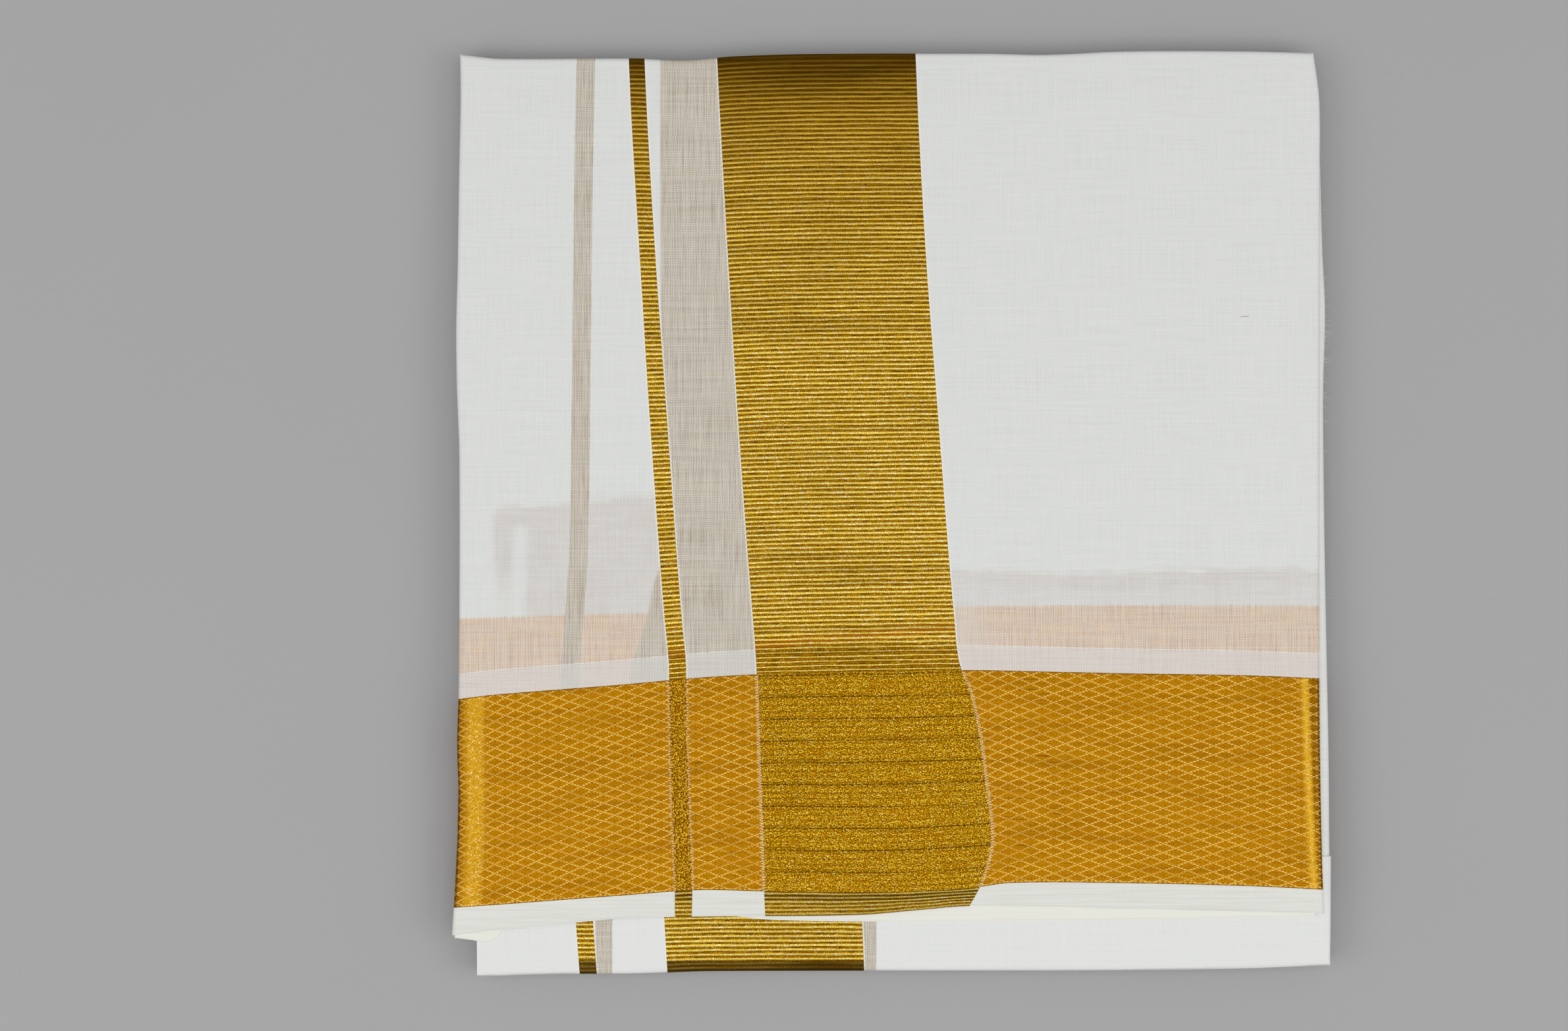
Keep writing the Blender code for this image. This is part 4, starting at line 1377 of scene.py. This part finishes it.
@dataclass
class TopPanel:
    """The top panel: ground, stripe and ribbed band, then the zari border, then the selvedge hem.

    lozenge_left and lozenge_right are the widths of the border's lozenges, crowding how many more of them
    lie where the cloth was pulled together, and crowd the length over which they do.
    """

    rib_pitch: float = RIB_PITCH
    rows_per_rib: int = 8
    fold: float = 1.7
    side_fold: float = 1.5
    lozenge_left: float = 8.4
    lozenge_right: float = 9.0
    crowding: float = 0.9
    crowd: float = 24.0
    crossing_length: float = 77.0
    hem_ribs: float = 6.0

    def build(self, finishes: Finishes) -> None:
        """Builds and dresses the panel.

        Args:
            finishes: The materials.
        """
        p, ground = PACKET, Ground()
        back, left = {Side.BACK: self.fold}, {Side.LEFT: self.side_fold}
        right = {Side.RIGHT: self.side_fold}

        ribs = round((float(p.back(0.0) - p.border_back(0.0)) / MM - self.fold) / self.rib_pitch)
        rows = ribs * self.rows_per_rib
        patch = Stretch(
            p.stripe_left, p.stripe_right, p.border_back, p.back, back, columns=4, rows=rows
        ).lay()
        stripe = self._ribbed("top_zari_stripe", patch, ribs, finishes)

        fields = [
            ("top_ground_left", p.left, p.stripe_left, {**left, **back}, 22, [stripe]),
            ("top_ground_middle", p.stripe_right, p.band_left, back, 10, []),
            ("top_ground_right", p.band_right, p.right, {**right, **back}, 46, []),
        ]
        for name, low, high, folds, columns, extra in fields:
            patch = Stretch(low, high, p.border_back, p.back, folds, columns=columns, rows=76).lay()
            gold_left = None if low is p.left else low
            gold_right = None if high is p.right else high
            thing = Cloth(name, patch, ground.measures(patch, gold_left, gold_right)).make()
            dressed(thing, finishes.cotton, Slot.COTTON, name)
            declare(thing, patch)

        patch = Stretch(
            p.band_left, p.band_right, p.border_back, p.back, back, columns=20, rows=rows
        ).lay()
        band = self._ribbed("top_zari_band", patch, ribs, finishes)
        declare(band, patch)
        self._border(finishes, left, right)

    def _ribbed(self, name: str, patch: Patch, ribs: int, finishes: Finishes) -> bpy.types.Object:
        """Makes a stretch with weft ribs that run on round the back fold.

        Args:
            name: The stretch's name.
            patch: Its laid grid.
            ribs: Number of ribs on its flat part.
            finishes: The materials.

        Returns:
            The piece.
        """
        number = patch.share_along * ribs + self._past(patch) / self.rib_pitch
        thing = Cloth(name, patch, {"rib": number}, rib_relief(number)).make()
        return dressed(thing, finishes.band, Slot.BAND, name)

    @staticmethod
    def _past(patch: Patch) -> Array:
        """How far each point lies round the back fold, in millimetres."""
        flat_end = np.where(patch.turned == 0, patch.flat[..., 1], -1.0).max(axis=0)
        return np.maximum(patch.flat[..., 1] - flat_end, 0.0) / MM

    def _border(self, finishes: Finishes, left: dict[Side, float], right: dict[Side, float]) -> None:
        """Makes the border's two lengths, its crossing with the band, and the hem strips in front.

        Args:
            finishes: The materials.
            left: The fold at the left side.
            right: The fold at the right side.
        """
        p = PACKET
        hem = [
            self._hem("hem_left", "hem_left", p.left, p.stripe_left, left, 30, finishes),
            self._hem("hem_middle", "hem_left", p.stripe_right, p.band_left, {}, 10, finishes),
            self._hem_ribs("hem_stripe", p.stripe_left, p.stripe_right, 4, finishes),
        ]
        patch = Stretch(
            p.left, p.band_left, p.border_front, p.border_back, left, columns=40, rows=30
        ).lay()
        flat_x = patch.flat[..., 0]
        side = (flat_x - p.left(patch.y)) / MM
        along = (p.band_left(patch.y) - flat_x) / MM
        lattice = self._lattice(flat_x / MM / self.lozenge_left, side)
        self._length("border_left", patch, along, lattice, side, hem, finishes)

        hem = [self._hem("hem_right", "hem_right", p.band_right, p.right, right, 44, finishes)]
        patch = Stretch(
            p.band_right, p.right, p.border_front, p.border_back, right, columns=44, rows=30
        ).lay()
        flat_x = patch.flat[..., 0]
        side = (p.right(patch.y) - flat_x) / MM
        along = (flat_x - p.band_right(patch.y)) / MM
        lattice = self._lattice(flat_x / MM / self.lozenge_right, flat_x / MM - self.crowd)
        self._length("border_right", patch, along, lattice, side, hem, finishes)

        hem = [self._hem_ribs("hem_band", p.band_left, p.band_right, 20, finishes, "hem_band")]
        patch = Stretch(
            p.band_left, p.band_right, p.border_front, p.border_back, columns=20, rows=30
        ).lay()
        x, y = patch.x, patch.y
        measures = {
            "along": (x - p.band_left(y)) / MM,
            "up": patch.share_along * self.crossing_length,
            "width": (p.band_right(y) - p.band_left(y)) / MM,
        }
        thing = Cloth("border_crossing", patch, measures).make()
        dressed(thing, finishes.crossing, Slot.CROSSING, "border_crossing")
        declare(thing, patch)

    def _lattice(self, lozenges: Array, past: Array) -> Array:
        """Number of lozenges along the border, which crowd where the cloth was pulled.

        Args:
            lozenges: Their number if they were even.
            past: Distance past where the crowding starts, in millimetres.

        Returns:
            The number at each point.
        """
        return lozenges + self.crowding * (1 - np.exp(-np.maximum(past, 0.0) / self.crowd))

    @staticmethod
    def _length(
        name: str,
        patch: Patch,
        along: Array,
        lattice: Array,
        side: Array,
        hem: list[bpy.types.Object],
        finishes: Finishes,
    ) -> None:
        """Makes one length of the border.

        Args:
            name: Its name.
            patch: Its laid grid.
            along: Distance from the crossing, in millimetres.
            lattice: Number of lozenges along it.
            side: Distance from its side fold, in millimetres.
            hem: The hem strips in front of it; not used.
            finishes: The materials.
        """
        measures = {
            "along": along,
            "lattice": lattice,
            "up": patch.share_along * BORDER_WIDTH,
            "past_stripe": (patch.x - PACKET.stripe_left(patch.y)) / MM,
            "from_side": side,
        }
        thing = Cloth(name, patch, measures).make()
        dressed(thing, finishes.border, Slot.BORDER, name)
        declare(thing, patch)

    @staticmethod
    def _hem(
        name: str,
        node: str,
        low: Edge,
        high: Edge,
        folds: dict[Side, float],
        columns: int,
        finishes: Finishes,
    ) -> bpy.types.Object:
        """Makes a plain strip of the hem.

        Args:
            name: The strip's name.
            node: The node that it stands for.
            low: Its left edge.
            high: Its right edge.
            folds: Its folded sides.
            columns: Columns of its grid.
            finishes: The materials.

        Returns:
            The strip.
        """
        p = PACKET
        patch = Stretch(low, high, p.hem, p.border_front, folds, columns=columns, rows=8).lay()
        rim = (patch.y - p.hem(patch.x)) / MM
        hem = Cloth(name, patch, {"from_rim": rim}).make()
        return dressed(hem, finishes.selvedge, Slot.SELVEDGE, node)

    def _hem_ribs(
        self, name: str, low: Edge, high: Edge, columns: int, finishes: Finishes, *nodes: str
    ) -> bpy.types.Object:
        """Makes a strip of the hem with weft ribs.

        Args:
            name: The strip's name.
            low: Its left edge.
            high: Its right edge.
            columns: Columns of its grid.
            finishes: The materials.
            nodes: The nodes that it stands for, if any.

        Returns:
            The strip.
        """
        patch = Stretch(low, high, PACKET.hem, PACKET.border_front, columns=columns, rows=56).lay()
        number = patch.share_along * self.hem_ribs
        hem = Cloth(name, patch, {"rib": number}, rib_relief(number)).make()
        return dressed(hem, finishes.band, Slot.BAND, *nodes)


@dataclass
class SecondLayer:
    """The second layer's selvedge, which peeks out below the hem, and its corner turned under."""

    drop: float = 0.5
    inner: float = -127.0
    right: float = 150.8
    left: float = -138.4
    corner_left: Edge = Edge(((-153.0, -156.2), (-138, -154.6)))
    corner_front: Edge = Edge((
        (-156.5, -151.2), (-150, -152.0), (-144.4, -152.6), (-140.5, -150.9), (-138.6, -148.0),
    ))
    corner_back: float = -136.0
    corner_rim: float = 3.0
    corner_fold: float = 0.7
    corner_side: float = 0.5

    def build(self, finishes: Finishes) -> None:
        """Builds and dresses the layer.

        Args:
            finishes: The materials.
        """
        p = PACKET
        patch = Stretch(
            straight(self.left), straight(self.right), p.second_hem, straight(self.inner),
            drop=self.drop, columns=60, rows=10,
        ).lay()
        rim = (patch.y - p.second_hem(patch.x)) / MM
        thing = Cloth("second_selvedge", patch, {"from_rim": rim, "lit": np.ones_like(rim)}).make()
        dressed(thing, finishes.selvedge, Slot.SELVEDGE, "second_selvedge")

        sides = {Side.LEFT: self.corner_side, Side.RIGHT: self.corner_side}
        corner = Stretch(
            self.corner_left, straight(self.left), self.corner_front, straight(self.corner_back),
            {**sides, Side.FRONT: self.corner_fold}, drop=self.drop, columns=12, rows=12,
        ).lay()
        rim = (corner.y - self.corner_front(corner.x)) / MM + self.corner_rim
        flap = Cloth("folded_corner", corner, {"from_rim": rim, "lit": np.ones_like(rim)}).make()
        dressed(flap, finishes.selvedge, Slot.SELVEDGE, "folded_corner")
        declare(thing, patch)


@dataclass
class LowerTier:
    """The lower tier, whose front is the cloth's mid fold.

    sheer_half is half the width of the sheer strips in it, and sheer_middle and sheer_right are their
    places along the border.
    """

    drop: float = 1.0
    fold: float = 2.0
    inner: float = -122.0
    left: float = -148.0
    right: float = 156.5
    rib_pitch: float = 1.6
    rows_per_rib: int = 8
    first_rib: float = 40.0
    side_fold: float = 1.4
    sheer_half: float = 3.0
    sheer_middle: float = -102.7
    sheer_right: float = -8.6
    zones: TierZones = field(default_factory=TierZones)

    def build(self, finishes: Finishes) -> None:
        """Builds and dresses the tier.

        Args:
            finishes: The materials.
        """
        p, z, ground = PACKET, self.zones, Ground()
        inner, fold = straight(self.inner), {Side.FRONT: self.fold}
        stripe = self._ribbed("tier_stripe", z.stripe_left, z.stripe_right, 4, finishes)
        left, right = straight(self.left), straight(self.right)
        corner = {**fold, Side.RIGHT: self.side_fold}
        fields = [
            ("tier_left", left, z.stripe_left, fold, 12, [stripe[0]], None),
            ("tier_middle", z.stripe_right, z.band_left, fold, 10, [], self.sheer_middle),
            ("tier_right", z.band_right, right, corner, 54, [], self.sheer_right),
        ]
        for name, low, high, folds, columns, extra, sheer in fields:
            patch = Stretch(low, high, p.tier_fold, inner, folds, self.drop, columns, rows=16).lay()
            gold_left, gold_right = (None if edge in (left, right) else edge for edge in (low, high))
            measures = ground.plain(patch, gold_left, gold_right)
            if sheer is not None:
                measures["stripe_below"] = (patch.x / MM - sheer) / self.sheer_half
            thing = Cloth(name, patch, measures).make()
            dressed(thing, finishes.cotton, Slot.COTTON, name)
            declare(thing, patch)
        band, patch = self._ribbed("tier_zari_band", z.band_left, z.band_right, 20, finishes)
        declare(band, patch)

    def _ribbed(
        self, name: str, low: Edge, high: Edge, columns: int, finishes: Finishes
    ) -> tuple[bpy.types.Object, Patch]:
        """Makes a stretch with weft ribs that run on round the front fold.

        Args:
            name: The stretch's name.
            low: Its left edge.
            high: Its right edge.
            columns: Columns of its grid.
            finishes: The materials.

        Returns:
            The piece and its laid grid.
        """
        p = PACKET
        length = self.inner - float(p.tier_fold(0.0)) / MM - self.fold
        ribs = round(length / self.rib_pitch)
        patch = Stretch(
            low, high, p.tier_fold, straight(self.inner), {Side.FRONT: self.fold},
            drop=self.drop, columns=columns, rows=ribs * self.rows_per_rib, fold_steps=18,
        ).lay()
        before = np.where(patch.turned == 0, patch.flat[..., 1], 1.0).min(axis=0) - patch.flat[..., 1]
        number = patch.share_along * ribs - np.maximum(before, 0.0) / MM / self.rib_pitch + self.first_rib
        thing = Cloth(name, patch, {"rib": number}, rib_relief(number)).make()
        return dressed(thing, finishes.band, Slot.BAND, name), patch


@dataclass
class NextPanel:
    """The edge of the panel below, a narrow strip beyond the right fold, with its frayed threads.

    Most threads fray about fray_middle, spread by fray_spread, and the others at the strays' places. They
    start thread_root inside the edge and thread_drop below the strip, and get thinner by the taper.
    """

    drop: float = 1.6
    fold: float = 1.5
    inner: float = 136.0
    front: float = -122.0
    threads: int = 46
    fray_middle: float = 63.0
    fray_spread: float = 16.0
    strays: tuple[float, ...] = (109.0, 101.0, -30.0, -46.0)
    thread_radius: float = 0.055
    thread_length: tuple[float, float] = (2.0, 4.2)
    thread_sag: tuple[float, float] = (0.1, 0.5)
    thread_root: float = 1.2
    thread_drop: float = 0.5
    thread_steps: int = 6
    bend_spread: float = 0.5
    taper: float = 0.6
    seed: int = 7

    def build(self, finishes: Finishes) -> None:
        """Builds and dresses the strip and its threads.

        Args:
            finishes: The materials.
        """
        p = PACKET
        patch = Stretch(
            straight(self.inner), p.next_right, straight(self.front), p.back,
            {Side.RIGHT: self.fold, Side.BACK: self.fold}, drop=self.drop, columns=8, rows=96,
        ).lay()
        thing = Cloth("next_panel_edge", patch, Ground().plain(patch)).make()
        dressed(thing, finishes.cotton, Slot.COTTON, "next_panel_edge")
        threads = self._threads()
        dressed(threads, finishes.selvedge, Slot.COTTON)
        declare(thing, patch)

    def _threads(self) -> bpy.types.Object:
        """Makes the frayed threads as one mesh of fine three-sided whiskers.

        Returns:
            The threads.
        """
        chance = np.random.default_rng(self.seed)
        frayed = chance.normal(self.fray_middle, self.fray_spread, self.threads)
        places = np.concatenate((frayed, self.strays))
        points: list[tuple[float, float, float]] = []
        faces: list[tuple[int, ...]] = []
        for y in places * MM:
            x = float(PACKET.next_right(np.array(y))) - self.thread_root * MM
            z = float(PACKET.top(np.array(x), np.array(y))) - (self.drop + self.thread_drop) * MM
            length = chance.uniform(*self.thread_length) * MM
            lean, curl = chance.normal(0.0, self.bend_spread), chance.normal(0.0, self.bend_spread)
            sag = chance.uniform(*self.thread_sag)
            first, steps = len(points), self.thread_steps
            for step in range(steps + 1):
                t = step / steps
                bend = lean * t + curl * t * t
                reach, across, fall = x + length * t, y + length * bend * 0.5, z - length * sag * t * t
                radius = self.thread_radius * MM * (1 - self.taper * t)
                for corner in range(3):
                    angle = math.tau * corner / 3
                    side, up = radius * math.cos(angle), radius * math.sin(angle)
                    points.append((reach, across + side, fall + up))
            for step in range(steps):
                for corner in range(3):
                    ring = first + step * 3
                    a, b = ring + corner, ring + (corner + 1) % 3
                    faces.append((a, b, b + 3, a + 3))
            faces.append((first + 2, first + 1, first))
            last = first + steps * 3
            faces.append((last, last + 1, last + 2))
        mesh = bpy.data.meshes.new("frayed_threads")
        mesh.from_pydata(points, [], faces)
        mesh.uv_layers.new(name="Flat")
        mesh.attributes.new("from_rim", "FLOAT", "POINT")
        thing = bpy.data.objects.new("frayed_threads", mesh)
        bpy.context.scene.collection.objects.link(thing)
        return thing


@dataclass
class Underside:
    """The last panel, face down and flat on the surface, with its own length of border.

    crossing is how far to the left its crossing with the end band would lie, out of sight.
    """

    inset: float = 0.6
    border_back: float = -62.0
    border_front: float = -138.0
    fold: float = 1.5
    lozenge: float = 8.95
    crossing: float = 200.0

    def build(self, finishes: Finishes) -> None:
        """Builds and dresses the panel.

        Args:
            finishes: The materials.
        """
        p = PACKET
        left, right = p.stack_left.moved(self.inset), p.next_right.moved(-self.inset)
        front, back = p.tier_fold.moved(self.inset), p.back.moved(-self.inset)
        sides = {Side.LEFT: self.fold, Side.RIGHT: self.fold}
        middle, near = straight(self.border_back), straight(self.border_front)

        patch = self._stretch(left, right, front, near, {**sides, Side.FRONT: self.fold}, 8)
        hem = Cloth("under_hem", patch, Ground().plain(patch), faces_down=True).make()
        dressed(hem, finishes.cotton, Slot.COTTON, "under_hem")
        declare(hem, patch)

        patch = self._stretch(left, right, near, middle, sides, 26)
        measures = {
            "along": patch.flat[..., 0] / MM + self.crossing,
            "lattice": patch.flat[..., 0] / MM / self.lozenge,
            "up": patch.share_along * BORDER_WIDTH,
            "past_stripe": np.full_like(patch.x, FAR),
            "from_side": np.full_like(patch.x, FAR),
        }
        border = Cloth("under_border", patch, measures, faces_down=True).make()
        dressed(border, finishes.border, Slot.BORDER, "under_border")
        declare(border, patch)

        patch = self._stretch(left, right, middle, back, {**sides, Side.BACK: self.fold}, 60)
        field_piece = Cloth("under_ground", patch, Ground().plain(patch), faces_down=True).make()
        dressed(field_piece, finishes.cotton, Slot.COTTON, "under_ground")
        declare(field_piece, patch)

    @staticmethod
    def _stretch(
        left: Edge, right: Edge, low: Edge, high: Edge, folds: dict[Side, float], rows: int
    ) -> Patch:
        """Lays a stretch of the underside.

        Args:
            left: Its left edge.
            right: Its right edge.
            low: Its front edge.
            high: Its back edge.
            folds: Its folded sides.
            rows: Rows of its grid.

        Returns:
            The laid grid.
        """
        return Stretch(
            left, right, low, high, folds, columns=60, rows=rows, faces_down=True, turn=math.radians(90)
        ).lay()


@dataclass
class HiddenLayers:
    """The layers that lie between: eleven folded panels, each a slab with rounded, uneven folds.

    floor is the stack's lowest height and top_drop how far its top lies below the packet's. waves gives
    the lengths of the waves in its left, right, front and back sides, and turn how far they move on from
    a panel to the next. margin, front_end and back_end keep heights clear of the packet's shoulders.
    filled is a panel's share of its room, and rounding the radius of its folds as such a share. Gold
    shows up to fold_depth in from the sides. Lengths are in millimetres.
    """

    panels: int = 11
    plies: int = 4
    floor: float = 0.42
    top_drop: float = 1.95
    inset: float = 0.9
    uneven: float = 0.45
    cells: int = 24
    front: float = -162.0
    length: float = 325.0
    waves: tuple[float, float, float, float] = (37.0, 51.0, 45.0, 39.0)
    turn: float = 2.1
    rounds: int = 5
    margin: float = 2.0
    front_end: float = -158.0
    back_end: float = 160.0
    filled: float = 0.985
    rounding: float = 0.46
    fold_depth: float = 4.0

    def build(self, finishes: Finishes) -> None:
        """Builds and dresses the stack.

        Args:
            finishes: The materials.
        """
        slabs = [self._slab(number) for number in range(self.panels)]
        pick(*slabs)
        bpy.ops.object.join()
        stack = bpy.context.view_layer.objects.active
        stack.name = stack.data.name = "hidden_plies"
        self._measure(stack)
        bpy.ops.object.shade_smooth_by_angle(angle=SMOOTH_ANGLE)
        dressed(stack, finishes.layers, Slot.COTTON, "hidden_layers")

    def _slab(self, number: int) -> bpy.types.Object:
        """Makes one folded panel from a grid, shaped to the packet's outline and thickened.

        Args:
            number: The panel's number, from the bottom.

        Returns:
            The panel.
        """
        bpy.ops.object.select_all(action="DESELECT")
        bpy.ops.mesh.primitive_grid_add(x_subdivisions=self.cells, y_subdivisions=self.cells, size=2.0)
        slab = bpy.context.view_layer.objects.active
        slab.name = f"panel_{number}"
        co = np.zeros(len(slab.data.vertices) * 3)
        slab.data.vertices.foreach_get("co", co)
        place = self._place(co.reshape(-1, 3), number)
        slab.data.vertices.foreach_set("co", place.ravel())
        thickness = self._depth() / self.panels
        wall = slab.modifiers.new("Thickness", "SOLIDIFY")
        wall.thickness = thickness * self.filled
        wall.offset = 0.0
        rim = slab.modifiers.new("Folds", "BEVEL")
        rim.width = thickness * self.rounding
        rim.segments = 3
        rim.limit_method = "ANGLE"
        rim.angle_limit = SMOOTH_ANGLE
        for modifier in (wall, rim):
            bpy.ops.object.modifier_apply(modifier=modifier.name)
        return slab

    def _depth(self) -> float:
        """Height of the whole stack at the packet's middle, in metres."""
        return float(PACKET.heights(np.array(0.0))) - (self.floor + self.top_drop) * MM

    def _place(self, unit: Array, number: int) -> Array:
        """Moves a unit square's points to the middle face of one panel.

        Args:
            unit: Points of a square from -1 to 1.
            number: The panel's number, from the bottom.

        Returns:
            The moved points.
        """
        p = PACKET
        s, t = (unit[:, 0] + 1) / 2, (unit[:, 1] + 1) / 2
        turn = self.turn * number
        y = (self.front + self.length * t) * MM
        x = np.zeros_like(y)
        left, right, front, back = (wave * MM for wave in self.waves)
        for _ in range(self.rounds):
            low = p.stack_left(y) + self._stray(y / left + turn, math.sin(1.7 * turn))
            high = p.next_right(y) - self._stray(y / right + 1.3 * turn, math.cos(2.3 * turn))
            x = low + (high - low) * s
            near = p.tier_fold(x) + self._stray(x / front + turn, math.sin(2.9 * turn))
            far = p.back(x) - self._stray(x / back + 0.7 * turn, math.cos(1.9 * turn))
            y = near + (far - near) * t
        top = self._top(x, y) - self.top_drop * MM
        share = (number + 0.5) / self.panels
        z = self.floor * MM + (top - self.floor * MM) * share
        return np.stack((x, y, z), axis=-1)

    def _stray(self, phase: Array, lean: float) -> Array:
        """How far a panel's side lies inside the packet's outline.

        Args:
            phase: Phase of the side's waves at each point.
            lean: How much the whole side is shifted, from -1 to 1.

        Returns:
            The distance at each point, in metres.
        """
        wander = self.uneven * np.sin(phase) + self.uneven * lean
        return (self.inset + wander) * MM

    def _top(self, x: Array, y: Array) -> Array:
        """Height of the packet's top, held clear of its shoulders.

        Args:
            x: Places along the border, in metres.
            y: Places from the selvedge to the back, in metres.

        Returns:
            The height at each place, in metres.
        """
        p, margin = PACKET, self.margin * MM
        inner_x = np.clip(x, p.left(y) + margin, p.right(y) - margin)
        return p.top(inner_x, np.clip(y, self.front_end * MM, self.back_end * MM))

    def _measure(self, stack: bpy.types.Object) -> None:
        """Keeps on the stack's points the number of their ply, and how far inside the border they lie.

        Args:
            stack: The joined panels.
        """
        mesh = stack.data
        co = np.zeros(len(mesh.vertices) * 3)
        mesh.vertices.foreach_get("co", co)
        x, y, z = co.reshape(-1, 3).T
        p = PACKET
        share = (z - self.floor * MM) / (self._top(x, y) - (self.top_drop + self.floor) * MM)
        inside = np.minimum(p.border_back(x) - y, y - p.border_front(x)) / MM
        rim = np.minimum(x - p.stack_left(y), p.next_right(y) - x) / MM
        note(mesh, "ply", share * self.panels * self.plies)
        note(mesh, "border", np.where(rim < self.fold_depth, inside, -FAR))


@dataclass
class Studio:
    """A plain pale floor, soft light from both sides and above, and the camera straight above.

    Places are in metres, and the lights' powers in watts.
    """

    camera_x: float = -0.0385
    camera_y: float = -0.0006
    camera_height: float = 1.3332
    lens: float = 85.0
    sensor: float = 36.0
    clip: tuple[float, float] = (0.05, 20.0)
    side_place: tuple[float, float, float] = (1.15, -0.3, 1.25)
    side_size: tuple[float, float] = (1.1, 1.0)
    side_light: float = 5.9
    top_place: tuple[float, float, float] = (0.0, -0.25, 2.0)
    top_size: tuple[float, float] = (1.6, 1.5)
    top_light: float = 9.1
    fill: float = 0.42
    floor_size: float = 8.0

    def build(self) -> None:
        """Builds the studio."""
        self._floor()
        x, y, z = self.side_place
        self._light("left_softbox", (-x, y, z), self.side_size, self.side_light)
        self._light("right_softbox", (x, y, z), self.side_size, self.side_light)
        self._light("top_softbox", self.top_place, self.top_size, self.top_light)
        self._surroundings()
        self._camera()

    def _surroundings(self) -> None:
        """Fills the shadows with an even white light, and shows colours as they are."""
        world = bpy.data.worlds.new("studio")
        bpy.context.scene.world = world
        world.use_nodes = True
        background = world.node_tree.nodes["Background"]
        background.inputs["Color"].default_value = (1.0, 1.0, 1.0, 1.0)
        background.inputs["Strength"].default_value = self.fill
        bpy.context.scene.view_settings.view_transform = "Standard"
        bpy.context.scene.view_settings.look = "None"

    def _camera(self) -> None:
        """Hangs the camera above the packet."""
        data = bpy.data.cameras.new("camera")
        data.lens = self.lens
        data.sensor_width = self.sensor
        data.clip_start, data.clip_end = self.clip
        camera = bpy.data.objects.new("camera", data)
        camera.location = (self.camera_x, self.camera_y, self.camera_height)
        bpy.context.scene.collection.objects.link(camera)
        bpy.context.scene.camera = camera

    def _floor(self) -> None:
        """Lays the floor."""
        bpy.ops.object.select_all(action="DESELECT")
        bpy.ops.mesh.primitive_plane_add(size=self.floor_size, location=(0.0, 0.0, 0.0))
        floor = bpy.context.view_layer.objects.active
        floor.name = floor.data.name = "pale_floor"
        floor.data.materials.append(PaleFloor().make())

    @staticmethod
    def _light(
        name: str, place: tuple[float, float, float], size: tuple[float, float], power: float
    ) -> None:
        """Hangs a large soft light that faces the packet.

        Args:
            name: The light's name.
            place: Its place.
            size: Its width and length.
            power: Its power.
        """
        data = bpy.data.lights.new(name, "AREA")
        data.shape = "RECTANGLE"
        data.size, data.size_y = size
        data.energy = power
        light = bpy.data.objects.new(name, data)
        light.location = place
        light.rotation_euler = (-Vector(place)).to_track_quat("-Z", "Y").to_euler()
        light.visible_camera = False
        bpy.context.scene.collection.objects.link(light)


def main() -> None:
    """Loads the frame and builds the packet and the studio."""
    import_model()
    bpy.ops.object.select_all(action="DESELECT")
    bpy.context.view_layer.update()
    finishes = Finishes(
        cotton=Cotton().make(),
        selvedge=Selvedge().make(),
        band=RibbedZari().make(),
        border=BorderZari().make(),
        crossing=CrossingZari().make(),
        layers=LayeredEdge().make(),
    )
    for part in (HiddenLayers(), Underside(), LowerTier(), NextPanel(), SecondLayer(), TopPanel()):
        part.build(finishes)
        log.info("%s done", type(part).__name__)
    Studio().build()


if __name__ == "__main__":
    logging.basicConfig(level=logging.INFO, format="%(message)s")
    main()
